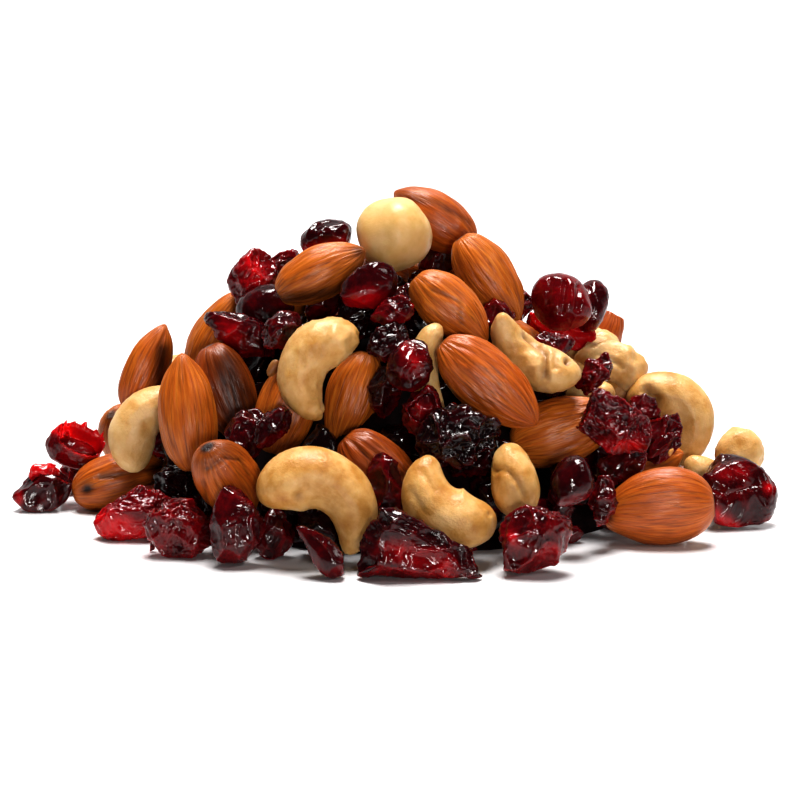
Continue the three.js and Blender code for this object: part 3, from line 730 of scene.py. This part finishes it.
def fine_ball(bm, fineness):
    """a unit ball: an icosphere, or with two numbers a globe with its poles on x"""
    if isinstance(fineness, int):
        return bmesh.ops.create_icosphere(bm, subdivisions=fineness, radius=1.0)["verts"]
    around, along = fineness
    made = bmesh.ops.create_uvsphere(
        bm, u_segments=around, v_segments=along, radius=1.0, matrix=ON_X)
    return made["verts"]


def face_outward(bm):
    bm.normal_update()
    if bm.calc_volume(signed=True) < 0:
        bmesh.ops.reverse_faces(bm, faces=bm.faces)
        bm.normal_update()


def on_piece(piece, local):
    local = add(local, piece.middle, -1)
    return add(piece.at, tuple(dot(row, local) for row in piece.turning))


def slumped(piece, point):
    """soft berries on the table settle, so that their undersides spread over it"""
    x, y, z = point
    middle = piece.at[2]
    if piece.kind != "berry" or z > middle or middle > SETTLES_UP_TO * piece.low:
        return point
    return (x, y, middle * max(0.0, z / middle) ** SLUMP)


def shape_piece(bm, piece, form, relief, fineness):
    """turns a new bmesh into one finished piece; relief gives out, darkening or redness (stains,
    painted shade and painted light) and grain
    """
    grain_layer = bm.verts.layers.float_vector.new("grain")
    tone_layer = bm.verts.layers.float.new("tone")
    stain_and_painted_light_layer = bm.verts.layers.float.new("stain")
    fine_ball(bm, fineness)
    ways = [tuple(vert.co.normalized()) for vert in bm.verts]
    for vert, way in zip(bm.verts, ways):
        vert.co = pulled(piece, on_piece(piece, form(piece, way)))
    face_outward(bm)
    tone = TONES.get(piece.name, next(chance(piece.seed * 31 + 5)))
    for vert, way in zip(bm.verts, ways):
        place, normal = tuple(vert.co), tuple(vert.normal)
        out, stain, grain = relief(piece, way, place, normal)
        press, marked = marks_on(piece.name, place, normal)
        x, y, z = slumped(piece, add(place, normal, out - press))
        vert.co = Vector(add((x, y, max(z, FLOOR_GAP)), FOOT_MIDDLE, -1)) * MM
        vert[grain_layer] = grain
        vert[tone_layer] = tone
        vert[stain_and_painted_light_layer] = stain + marked
    bend = [vert for vert, way in zip(bm.verts, ways) if way[1] < INNER_SIDE]
    for _ in range(SMOOTHED_BENDS.get(piece.name, 0)):
        bmesh.ops.smooth_vert(
            bm, verts=bend, factor=0.5, use_axis_x=True, use_axis_y=True, use_axis_z=True)
    for face in bm.faces:
        face.smooth = True


def kind_mesh(name, pieces, form, relief, fineness):
    """one object of all these pieces, joined"""
    joined = bmesh.new()
    single = bpy.data.meshes.new("single")
    for piece in pieces:
        bm = bmesh.new()
        shape_piece(bm, piece, form, relief, fineness(piece))
        bm.to_mesh(single)
        bm.free()
        joined.from_mesh(single)
    bpy.data.meshes.remove(single)
    mesh = bpy.data.meshes.new(name)
    joined.to_mesh(mesh)
    joined.free()
    obj = bpy.data.objects.new(name, mesh)
    scene.collection.objects.link(obj)
    triangles = sum(len(polygon.vertices) - 2 for polygon in mesh.polygons)
    print(name, "has", len(pieces), "pieces and", triangles, "triangles")
    return obj


def pieces_of(*kinds):
    return [piece for piece in heap if piece.kind in kinds]


def is_front(piece):
    return piece.name[0] not in "BD"


def is_deep(piece):
    return piece.name[0] == "D"


# %% [markdown]
# ## Almonds
# An almond kernel is round at its base and comes to a point. Its brown skin has fine
# grooves that run from the base to the point, a blunt edge on one side where the shell
# was sewn shut, and a small dark scar at the base. The grooves lie where a slow noise
# round the kernel passes through nothing, so that they run lengthwise, part and join.

# %% Almonds
GROOVE_PACE = 6.4
GROOVE_DRIFT = 1.1
GROOVE_DEPTH = 0.17
GROOVED = {"A5": 2.3, "A14": 2.2, "A15": 1.8, "A6": 1.3, "A16": 0.45, "A8": 0.7, "A1": 0.5}
EDGE_HEIGHT = 0.3
BROKEN_OFF = {"A17": 0.72}


def almond_form(piece, s):
    """the almond with its point drawn out a little finer, and a nib on it"""
    x, y, z = s
    x = min(x, BROKEN_OFF.get(piece.name, 1.0))
    px, py, pz = almond_point((x, y, z), piece.size, piece.seed, piece.taper)
    return (px + 0.3 * max(0.0, x) ** 40, py, pz)


def almond_relief(piece, s, place, normal):
    x, y, z = s
    around = math.atan2(z, y)
    middle = 1 - x * x
    turn = Vector((math.cos(around), math.sin(around), 0))
    seat = Vector((0, 0, x * GROOVE_DRIFT + piece.seed * 7.31))
    slow = noise.noise(turn * GROOVE_PACE + seat)
    quick = noise.noise(turn * GROOVE_PACE * 1.9 + seat * 1.4)
    groove = max(0.0, 1 - 3.2 * abs(slow)) ** 1.5 + 0.6 * max(0.0, 1 - 3 * abs(quick)) ** 1.5
    fade = min(1.0, 3 * middle)
    depth = GROOVE_DEPTH * GROOVED.get(piece.name, 1.0)
    edge = EDGE_HEIGHT * math.exp(-((around / 0.2) ** 2)) * middle
    lump = 0.3 * noise.noise(Vector(s) * 1.7 + seat)
    scar = math.exp(-(((x + 1) / 0.03) ** 2))
    out = edge + lump - depth * groove * fade - 0.25 * scar
    grain = (x * piece.size[0] / 2 + piece.seed * 13.7,
             math.cos(around) * piece.size[1] / 2, math.sin(around) * piece.size[1] / 2)
    return out, 0.16 * groove * fade + 0.9 * scar, grain


def almond_fineness(piece):
    return (96, 40) if is_front(piece) else (56, 24)


almonds = kind_mesh("almonds", pieces_of("almond"), almond_form, almond_relief, almond_fineness)

# %% [markdown]
# ## Cashews
# A cashew kernel is a bent drop, fat at one end. It has been roasted, so its surface is
# dry and finely puckered, and it has a faint seam along its bend where its two halves
# meet. Some kernels are crumpled, and they get a stronger, folded relief. Inside a
# tight bend the surface stops short of the bend's middle, so that it can't fold over
# itself, and in a wide arch it is drawn in and thin, as between two fingers.

# %% Cashews
CRUMPLED = {"C7": 0.8, "C7b": 0.7, "C8": 0.5, "C5": 0.16, "C1": 0.28, "C3": 0.1}
PLAIN_CRUMPLE = 0.1
FOLD_PACE = {"C7": 0.24, "C7b": 0.24, "C8": 0.16}
PLAIN_FOLD_PACE, PUCKER_PACE, CASHEW_LUMP_PACE = 0.42, 1.1, 0.13
SEAM_DEPTH = 0.12
WEBBED = {"C6": (0.5, 0.45)}   # how far the inner side is drawn in, and how much thinner it is
LEAST_BEND = 0.8
PAST_LEAST_BEND = 0.1
SLIMMED = {"C9": 0.72, "C7": 1.1}


def cashew_form(piece, s):
    x, y, z = s
    if piece.kind == "cashew chip":
        return berry_point(s, piece.size, piece.seed, piece.taper)
    bend, sweep, fat, slim = piece.size
    along = (x + 1) / 2
    inmost = (LEAST_BEND - bend * (0.9 + 0.25 * along)) / (fat + (slim - fat) * along)
    if y < inmost:
        y = inmost + PAST_LEAST_BEND * (y - inmost)
    s = (x, y, z)
    if piece.name in WEBBED and y < 0:
        drawn_in, thinned = WEBBED[piece.name]
        middle = 1 - x * x
        s = (x, y * (1 - drawn_in * y * middle), z * (1 + thinned * y * middle))
    slimmed = SLIMMED.get(piece.name, 1.0)
    return cashew_point(s, (bend, sweep, fat * slimmed, slim * slimmed), piece.seed, piece.taper)


def cashew_relief(piece, s, place, normal):
    x, y, z = s
    if piece.kind == "cashew chip":
        return 0.1 * noise.noise(Vector(place)), 0.0, place
    local = cashew_point(s, piece.size, piece.seed, piece.taper)
    spot = Vector(local) + Vector((piece.seed * 13.7, 0, 0))
    crumple = CRUMPLED.get(piece.name, PLAIN_CRUMPLE)
    fold = noise.noise(spot * FOLD_PACE.get(piece.name, PLAIN_FOLD_PACE))
    pucker = noise.noise(spot * PUCKER_PACE + Vector((7, 3, 1)))
    seam = math.exp(-((z / 0.1) ** 2)) * (1 - x * x)
    lump = 0.35 * noise.noise(spot * CASHEW_LUMP_PACE)
    out = lump + crumple * (1 - 3 * abs(fold)) * 0.8 + crumple * 0.3 * pucker - SEAM_DEPTH * seam
    return out, 0.1 * max(0.0, -fold) * crumple + 0.05 * seam, tuple(spot)


def cashew_fineness(piece):
    if piece.kind == "cashew chip":
        return 3
    return (72, 52) if is_front(piece) else (48, 36)


cashews = kind_mesh(
    "cashews", pieces_of("cashew", "cashew chip"), cashew_form, cashew_relief, cashew_fineness)

# %% [markdown]
# ## The round nut
# One round nut has lost its skin in hot water. It is smooth, with a few flat places.

# %% The round nut
def round_nut_relief(piece, s, place, normal):
    spot = Vector(s)
    flats = 1.8 * noise.noise(spot * 1.3 + Vector((3, 0, 0)))
    grain = spot * piece.size[0] / 2
    return 0.45 * flats + 0.05 * noise.noise(spot * 6), 0.0, tuple(grain)


def round_nut_form(piece, s):
    return round_nut_point(s, piece.size, piece.seed, piece.taper)


round_nut = kind_mesh("round_nut", pieces_of("round nut"), round_nut_form, round_nut_relief,
                      lambda piece: (96, 64))

# %% [markdown]
# ## Dried cranberries
# Some cranberries dried whole and some were cut. The skin shrank over the flesh, so it
# lies in sharp creases with smooth, glossy faces between them. Ridged noise gives the
# creases: a noise value's distance from nothing has a sharp fold wherever it is nothing.
# How bright red a berry is at a point is kept with the mesh: bare flesh is red and thick
# skin is nearly black, and undersides and raised crests are painted brighter red, as
# light that has come through the flesh makes them.

# %% Facets of a dried cranberry
FACETS = 13
FACET_DISTANCE = (0.7, 0.93)
DISH = 0.35
BOXY = {
    "R3": 0.72, "R8": 0.8, "R12": 0.72, "R17": 0.75, "R2b": 0.7, "R8b": 0.8, "R13": 0.8, "R18": 0.8,
}
BOWLS = {"R1": ((0.1, 0.84, 0.53), 0.5, 5.0), "R31": ((0, 0.3, 0.95), 0.62, 1.6)}
BOWL_WALL, RIM_WIDTH, RIM_RAGGEDNESS = 2.2, 0.12, 9
NARROWED = {"R7": -0.6, "R13": -0.2, "R8": 0.4}
SLENDER = {"R7": 0.55, "R17": 0.9, "R18": 0.75}
GROWN = {"R34": 1.55, "R17": 1.2, "R22": 1.12, "R13": 1.1}
FACETED = {
    "R1": 0.5, "R22": 0.15, "R25": 0.4, "R10": 0.4, "R16": 0.3, "R16b": 0.4, "R5": 0.6, "R19": 0.6,
    "R15": 0.6,
}


@lru_cache(maxsize=None)
def facets(seed):
    """directions spread round a ball, each with how far out its flat face lies"""
    draw = chance(seed * 97 + 3)
    faces = []
    for k in range(FACETS):
        z = 1 - (2 * k + 1) / FACETS
        angle = k * GOLDEN_ANGLE + 6 * next(draw)
        ring = math.sqrt(1 - z * z)
        tipped = z + 0.5 * (next(draw) - 0.5)
        low, high = FACET_DISTANCE
        faces.append((unit((ring * math.cos(angle), ring * math.sin(angle), tipped)),
                      low + (high - low) * next(draw)))
    return faces


def berry_form(piece, s):
    """the berry's form with flat and slightly hollow faces pressed into it"""
    boxy = BOXY.get(piece.name, 1.0)
    if boxy < 1:
        s = tuple(math.copysign(abs(value) ** boxy, value) for value in s)
    faceted = FACETED.get(piece.name, 1.0)
    for way, distance in facets(piece.seed):
        beyond = dot(s, way) - distance
        if beyond > 0:
            s = add(s, way, -beyond * faceted * (1 + DISH * min(1.0, 8 * beyond)))
    x, y, z = berry_point(s, piece.size, piece.seed, piece.taper)
    if piece.name in BOWLS:
        way, edge, depth = BOWLS[piece.name]
        inside = max(0.0, dot(s, way) / math.sqrt(dot(s, s)) - edge) / (1 - edge)
        push = depth * (1 - (1 - min(1.0, BOWL_WALL * inside)) ** 2)
        ragged = 0.5 + 2.2 * noise.noise(Vector(s) * RIM_RAGGEDNESS)
        rim = math.exp(-((inside / RIM_WIDTH) ** 2)) * ragged if inside > 0 else 0.0
        return add((x, y, z), way, rim - push)
    grown = GROWN.get(piece.name, 1.0)
    narrow = grown * SLENDER.get(piece.name, 1.0) * (1 - NARROWED.get(piece.name, 0.0) * s[0])
    return (x * grown, y * narrow, z * narrow)


# %% Creases of a dried cranberry
FOLDS = ((0.2, 0.6), (0.42, 0.2))       # cells per millimetre, height of the ridges between them
WRINKLES = ((0.85, 0.12), (1.5, 0.04))
WARP_PACE, WARP = 0.16, 2.2
SMOOTH_BERRIES = {
    "R16": 0.2, "R16b": 0.25, "R22": 0.35, "R19": 0.45, "R10": 0.5, "R29": 0.6, "R25": 0.6,
    "R7": 0.3, "R15": 0.5, "R5": 0.6, "R2": 0.5, "R1": 0.7, "R13b": 0.3, "R9": 0.8,
}
WRINKLED = {"R3": 2.4, "R4": 1.8, "R12": 3.0, "R21": 2.4, "R18": 2.4, "R33": 2.0}
FOLDED = {"R32": 2.0, "R32b": 1.8, "R1": 0.4, "R10": 0.4, "R12": 0.3, "R3": 0.5, "R21": 0.6}
BRIGHT = {
    "R1": 0.24, "R2": 0.12, "R2b": 0.6, "R3": 0.25, "R4": 0.24, "R5": 0.16, "R6": 0.12,
    "R7": 0.14, "R8": 0.06, "R8b": 0.16, "R9": 0.2, "R10": 0.1, "R11": 0.16, "R12": 0.2,
    "R13": 0.18, "R14": 0.16,
    "R15": 0.12, "R16": 0.3, "R16b": 0.16, "R17": 0.5, "R18": 0.2, "R19": 0.1, "R20": 0.25,
    "R21": 0.26, "R22": 0.12, "R23": 0.1, "R25": 0.1, "R26": 0.12, "R27": 0.2, "R28": 0.0,
    "R29": 0.1, "R30": 0.04, "R31": 0.15, "R32": -0.1, "R32b": -0.1, "R33": 0.1, "R33b": 0.08,
    "R34": 0.15, "R37": -0.1, "R36": -0.1,
}
# Berries deep in the heap start darker: painted shade.
LEAST_BRIGHT, LEAST_BRIGHT_DEEP, MORE_BRIGHT = 0.05, -0.15, 0.25


def ridges(spot):
    """1 on the borders between random cells, falling to 0 inside them"""
    nearest = noise.voronoi(spot)[0]
    return max(0.0, 1 - (nearest[1] - nearest[0]) / 0.45) ** 2


def berry_relief(piece, s, place, normal):
    spot = Vector(place) + Vector((0, 0, piece.seed * 17.3))
    smooth = SMOOTH_BERRIES.get(piece.name, 1.0)
    warped = spot + noise.noise_vector(spot * WARP_PACE) * WARP
    folds = sum(height * (ridges(warped * pace) - 0.3) for pace, height in FOLDS)
    out = FOLDED.get(piece.name, 1.0) * folds
    wrinkled = WRINKLED.get(piece.name, 1.0)
    for pace, height in WRINKLES:
        out += wrinkled * height * (0.5 - 2.2 * abs(noise.noise(warped * pace)))
    out *= smooth
    # Undersides and raised crests are painted brighter red, as light that has come through the
    # flesh makes them.
    below = min(1.0, max(0.0, -0.15 - normal[2]))
    least = LEAST_BRIGHT_DEEP if is_deep(piece) else LEAST_BRIGHT
    bright = BRIGHT.get(piece.name, least + MORE_BRIGHT * next(chance(piece.seed + 3)))
    return out, bright + 0.3 * below + 0.15 * out, tuple(spot)


SMALLEST, SMALLEST_DEEP = 5, 10.4   # shorter ones get few faces
LARGE_BERRY = 138                   # length times width, in square millimetres


def berry_group(piece):
    if is_deep(piece):
        return "deep"
    if not is_front(piece):
        return "behind"
    return "large" if piece.size[0] * piece.size[1] > LARGE_BERRY else "small"


def berry_fineness(piece):
    group = berry_group(piece)
    if max(piece.size) < (SMALLEST_DEEP if group == "deep" else SMALLEST):
        return 3
    return {"large": 6, "small": 5, "behind": 5, "deep": 4}[group]


berry_meshes = []
for group in ("large", "small", "behind", "deep"):
    pieces = [piece for piece in pieces_of("berry") if berry_group(piece) == group]
    name = f"dried_cranberries_{group}"
    berry_meshes.append(kind_mesh(name, pieces, berry_form, berry_relief, berry_fineness))

# %% [markdown]
# ## The core
# Nobody sees into the middle of the heap. A dark, lumpy mound fills it, two thirds as
# large as the mound that the pieces lie on, and stops light from passing through. Its
# near black colour is painted shade.

# %% The core
CORE_SHARE = 0.66
CORE_LUMP = 8.0
CORE_RELIEF = 3.5

bm = bmesh.new()
bmesh.ops.create_icosphere(bm, subdivisions=5, radius=1.0)
for vert in bm.verts:
    s = vert.co.normalized()
    lift = max(0.0, s.z)
    flat = math.hypot(s.x, s.y)
    height = MOUND["height"] * (1 - min(1.0, flat) ** MOUND["power"]) if s.z > 0 else 0.0
    place = Vector((s.x * MOUND["half_width"], s.y * MOUND["half_depth"], height)) * CORE_SHARE
    nearest = noise.voronoi(place / CORE_LUMP)[0][0]
    lump = CORE_RELIEF * (1 - min(1.0, 1.4 * nearest * nearest))
    place += lump * Vector((s.x, s.y, lift)).normalized()
    place.z = max(FLOOR_GAP, place.z)
    vert.co = place - Vector(FOOT_MIDDLE)
bmesh.ops.scale(bm, vec=(MM, MM, MM), verts=bm.verts)
face_outward(bm)
for face in bm.faces:
    face.smooth = True
core_mesh = bpy.data.meshes.new("core")
bm.to_mesh(core_mesh)
bm.free()
core = bpy.data.objects.new("heap_core", core_mesh)
scene.collection.objects.link(core)
print("core is", [round(value / MM, 1) for value in core.dimensions], "mm")

# %% [markdown]
# ## Colours and nodes
# Colours are written as they look on a screen and turned to linear light. One function
# adds a node with its settings and joins its inputs, and a few more use it for what
# every material here has: attributes, noises, ramps, bumps and mixed colours.

# %% Colours and nodes
def linear(hex_colour):
    channels = [int(hex_colour[i:i + 2], 16) / 255 for i in (1, 3, 5)]
    return (*(c / 12.92 if c <= 0.04045 else ((c + 0.055) / 1.055) ** 2.4 for c in channels), 1.0)


def new_material(name):
    material = bpy.data.materials.new(name)
    material.use_nodes = True
    material.node_tree.nodes.clear()
    return material


def add_node(tree, kind, settings=None, inputs=None):
    node = tree.nodes.new(kind)
    for key, value in (settings or {}).items():
        setattr(node, key, value)
    for key, value in (inputs or {}).items():
        if isinstance(value, bpy.types.NodeSocket):
            tree.links.new(value, node.inputs[key])
        else:
            node.inputs[key].default_value = value
    return node


def attribute(tree, name, output="Fac"):
    return add_node(tree, "ShaderNodeAttribute", {"attribute_name": name}).outputs[output]


def object_place(tree):
    return add_node(tree, "ShaderNodeTexCoord").outputs["Object"]


def stretched(tree, place, scale):
    """a place with its three lengths multiplied, so that a noise on it is drawn out"""
    inputs = {"Vector": place, "Scale": scale}
    return add_node(tree, "ShaderNodeMapping", inputs=inputs).outputs["Vector"]


def noise_on(tree, place, scale, detail, **more):
    inputs = {"Vector": place, "Scale": scale, "Detail": detail, **more}
    return add_node(tree, "ShaderNodeTexNoise", inputs=inputs).outputs["Fac"]


def ramp(tree, value, *stops):
    node = add_node(tree, "ShaderNodeValToRGB", inputs={"Fac": value})
    elements = node.color_ramp.elements
    while len(elements) < len(stops):
        elements.new(0.5)
    for element, (position, hex_colour) in zip(elements, stops):
        element.position = position
        element.color = linear(hex_colour)
    return node.outputs["Color"]


def mixed(tree, share, first, second, blend_type="MIX"):
    settings = {"data_type": "RGBA", "blend_type": blend_type}
    node = add_node(tree, "ShaderNodeMix", settings, {"Factor": share, 6: first, 7: second})
    return node.outputs[2]


def bumps(tree, height, strength, distance):
    inputs = {"Height": height, "Strength": strength, "Distance": distance}
    return add_node(tree, "ShaderNodeBump", inputs=inputs).outputs["Normal"]


def maths(tree, operation, *values):
    inputs = dict(enumerate(values))
    return add_node(tree, "ShaderNodeMath", {"operation": operation}, inputs).outputs["Value"]


def finish_surface(material, inputs):
    tree = material.node_tree
    shader = add_node(tree, "ShaderNodeBsdfPrincipled", inputs=inputs)
    add_node(tree, "ShaderNodeOutputMaterial", inputs={"Surface": shader.outputs["BSDF"]})
    print(material.name, "has", len(tree.nodes), "nodes")


# %% [markdown]
# ## Almond skin
# The skin is a thin, dry, papery layer with a silky sheen. It has orange-brown bands
# between darker grooves, so the noise is drawn out along the kernel: one cell of it is
# about 8 mm long and two thirds of a millimetre wide. Dark veins run where a slower
# noise of the same kind has its middle value.

# %% Almond skin
almond_skin = new_material("almond_skin")
tree = almond_skin.node_tree
grain = attribute(tree, "grain", "Vector")
bands = noise_on(tree, stretched(tree, grain, (0.13, 1.5, 1.5)), 1.0, 3.0, Roughness=0.6)
skin_colour = ramp(
    tree, bands, (0.25, "#A85416"), (0.46, "#BE661C"), (0.58, "#CA7424"), (0.8, "#D88832"))
tone_colour = ramp(
    tree, attribute(tree, "tone"), (0.0, "#C87C60"), (0.5, "#FFFFFF"), (1.0, "#F0D0B8"))
toned = mixed(tree, 0.5, skin_colour, tone_colour, "MULTIPLY")
slow = noise_on(tree, stretched(tree, grain, (0.05, 0.8, 0.8)), 1.0, 2.0, Distortion=0.2)
off_vein = maths(tree, "ABSOLUTE", maths(tree, "SUBTRACT", slow, 0.5))
vein = add_node(tree, "ShaderNodeMapRange", inputs={
    "Value": off_vein, "From Min": 0.0, "From Max": 0.03, "To Min": 0.5, "To Max": 0.0})
veined = mixed(tree, vein.outputs["Result"], toned, linear("#5A2408"))
fibres = noise_on(tree, stretched(tree, grain, (0.3, 3.4, 3.4)), 1.0, 2.0)
# Marked parts turn nearly black brown: an almond's scar, grooves and darker patches, and painted
# shade on A9, A14 and under A8's wrinkle.
finish_surface(almond_skin, {
    "Base Color": mixed(tree, attribute(tree, "stain"), veined, linear("#260C06")),
    "Roughness": 0.34, "IOR": 1.42, "Normal": bumps(tree, fibres, 0.55, 0.00022)})
almonds.data.materials.append(almond_skin)

# %% [markdown]
# ## Roasted cashew and blanched nut
# Dry, dense and a little translucent, so light spreads under the surface and shadows
# turn warm. Roasting browned the cashews in cloudy patches a few millimetres wide. The
# round nut is paler and smoother.

# %% Roasted cashew and blanched nut
def nut_flesh(name, stops, stain_and_shade_colour, warmth, pitting):
    material = new_material(name)
    tree = material.node_tree
    grain = attribute(tree, "grain", "Vector")
    clouds = noise_on(tree, grain, 0.22, 4.0, Roughness=0.55)
    shade = maths(tree, "MULTIPLY_ADD", attribute(tree, "tone"), 0.3, clouds)
    colour = ramp(tree, shade, *stops)
    pores = noise_on(tree, grain, 1.8, 3.0, Roughness=0.6)
    finish_surface(material, {
        "Base Color": mixed(tree, attribute(tree, "stain"), colour, linear(stain_and_shade_colour)),
        "Roughness": 0.4, "IOR": 1.46, "Normal": bumps(tree, pores, pitting, 0.00025),
        "Subsurface Weight": warmth, "Subsurface Radius": (1.0, 0.45, 0.2),
        "Subsurface Scale": 0.0015})
    return material


# The cashews' marks turn brown: painted shade in their folds, dents and dimples, and on a chip in
# shade.
cashews.data.materials.append(nut_flesh(
    "roasted_cashew", [(0.35, "#A8702E"), (0.5, "#BC8A46"), (0.65, "#CEA264"), (0.85, "#DCB882")],
    "#7A4516", 0.25, 0.5))
round_nut.data.materials.append(nut_flesh(
    "blanched_nut", [(0.35, "#B88A46"), (0.5, "#CA9E5C"), (0.65, "#D6AE6E"), (0.85, "#E0BC84")],
    "#A87838", 0.3, 0.2))

# %% [markdown]
# ## Dried cranberry
# Sugared and oiled skin over translucent flesh, so smooth that it gives small, sharp
# lights. It runs from nearly black to bright red with how red the mesh says it is, and the
# red of undersides and crests in that is painted light that has come through the flesh.

# %% Dried cranberry
dried_cranberry = new_material("dried_cranberry")
tree = dried_cranberry.node_tree
grain = attribute(tree, "grain", "Vector")
mottle = noise_on(tree, grain, 0.4, 4.0, Roughness=0.65)
red = maths(tree, "MULTIPLY_ADD", mottle, 0.5, attribute(tree, "stain"))
wrinkles = noise_on(tree, grain, 1.5, 3.0, Roughness=0.6, Distortion=0.6)
finish_surface(dried_cranberry, {
    "Base Color": ramp(
        tree, red, (0.2, "#160204"), (0.4, "#3C0409"), (0.65, "#7E070F"), (0.95, "#BE1018")),
    "Roughness": 0.1, "IOR": 1.42, "Normal": bumps(tree, wrinkles, 0.15, 0.0003),
    "Subsurface Weight": 0.5, "Subsurface Radius": (1.0, 0.1, 0.06), "Subsurface Scale": 0.002})
for berry_mesh in berry_meshes:
    berry_mesh.data.materials.append(dried_cranberry)

# %% [markdown]
# ## Painted shade in the heap
# The core is rough and nearly black: its colour is painted shade for the depth of the heap.

# %% Painted shade in the heap
core_shade = new_material("crumbs_in_the_dark")
tree = core_shade.node_tree
grit = noise_on(tree, object_place(tree), 500.0, 3.0)
finish_surface(core_shade, {
    "Base Color": ramp(tree, grit, (0.3, "#060101"), (0.7, "#160304")),
    "Roughness": 0.8, "Specular IOR Level": 0.1})
core.data.materials.append(core_shade)

# %% [markdown]
# ## The table
# A white laminate top with a light polish: it mirrors the pieces that stand on it, most
# at this low angle, and fine lines in the laminate draw the mirror image out sideways.

# %% The table
TABLE_HALF = 3.0

bm = bmesh.new()
bmesh.ops.create_grid(bm, x_segments=1, y_segments=1, size=TABLE_HALF)
table_mesh = bpy.data.meshes.new("table")
bm.to_mesh(table_mesh)
bm.free()
table = bpy.data.objects.new("table", table_mesh)
scene.collection.objects.link(table)

white_laminate = new_material("white_laminate")
tree = white_laminate.node_tree
brushed = noise_on(tree, stretched(tree, object_place(tree), (12.0, 900.0, 1.0)), 1.0, 2.0)
finish_surface(white_laminate, {
    "Base Color": linear("#E8E8EA"), "Roughness": 0.1, "IOR": 1.5,
    "Normal": bumps(tree, brushed, 0.1, 0.0001)})
table.data.materials.append(white_laminate)

# %% [markdown]
# ## Light
# One broad soft light stands high above the heap and a little behind it. It is so far
# off that it is a sun lamp with a wide disc, and it lights the whole table evenly. A
# window at the right and a low lamp in front are weak, and give the small lights on
# glossy skins. The room glows behind the heap and is dim in front, so that the gaps
# stay dark, but to the camera it is white all round, as the table is. A gamma below one
# darkens the middle tones, for the contrast of a bright studio.

# %% Light
SUN_TILT, SUN_DISC = math.radians(-8), math.radians(26)
GLOW_IN_FRONT, GLOW_BEHIND, WHITE_TO_CAMERA = 0.05, 1.0, 1.05
GAMMA = 0.8

overhead_data = bpy.data.lights.new("overhead", "SUN")
overhead_data.energy = 6.0
overhead_data.angle = SUN_DISC
overhead_data.color = (1.0, 0.985, 0.965)
overhead = bpy.data.objects.new("overhead", overhead_data)
overhead.rotation_euler = (SUN_TILT, 0, 0)
scene.collection.objects.link(overhead)


def soft_box(name, place, size, power):
    data = bpy.data.lights.new(name, "AREA")
    data.size = size
    data.energy = power
    data.color = (1.0, 0.98, 0.955)
    light = bpy.data.objects.new(name, data)
    light.location = place
    light.rotation_euler = (-Vector(place)).to_track_quat("-Z", "Y").to_euler()
    scene.collection.objects.link(light)


soft_box("window", (0.7, -0.59, 0.93), 0.3, 2.8)
soft_box("front", (0.15, -1.25, 0.2), 0.14, 6.0)

room = bpy.data.worlds.new("room")
room.use_nodes = True
tree = room.node_tree
tree.nodes.clear()
way = add_node(tree, "ShaderNodeTexCoord")
split = add_node(tree, "ShaderNodeSeparateXYZ", inputs={"Vector": way.outputs["Generated"]})
glow = add_node(tree, "ShaderNodeMapRange", inputs={
    "Value": split.outputs["Y"], "From Min": 0.15, "From Max": 0.7,
    "To Min": GLOW_IN_FRONT, "To Max": GLOW_BEHIND})
ray = add_node(tree, "ShaderNodeLightPath")
seen = add_node(tree, "ShaderNodeMix", {"data_type": "FLOAT"}, {
    "Factor": ray.outputs["Is Camera Ray"], 2: glow.outputs["Result"], 3: WHITE_TO_CAMERA})
white = add_node(tree, "ShaderNodeBackground", inputs={
    "Color": (1, 1, 1, 1), "Strength": seen.outputs[0]})
add_node(tree, "ShaderNodeOutputWorld", inputs={"Surface": white.outputs["Background"]})
scene.world = room
scene.view_settings.view_transform = "Standard"
scene.view_settings.gamma = GAMMA

# %% [markdown]
# ## Fitting into the frame
# Every piece rides on the one body and stands for the solid heap.

# %% Fitting into the frame
SLOTS = [
    (almonds, "almond_skin"),
    (cashews, "cashew"),
    (round_nut, "blanched_nut"),
    *((berry_mesh, "dried_cranberry") for berry_mesh in berry_meshes),
    (core, "trail_mix"),
]
for piece, slot in SLOTS:
    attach(piece, "root")
    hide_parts("trail_mix_heap")
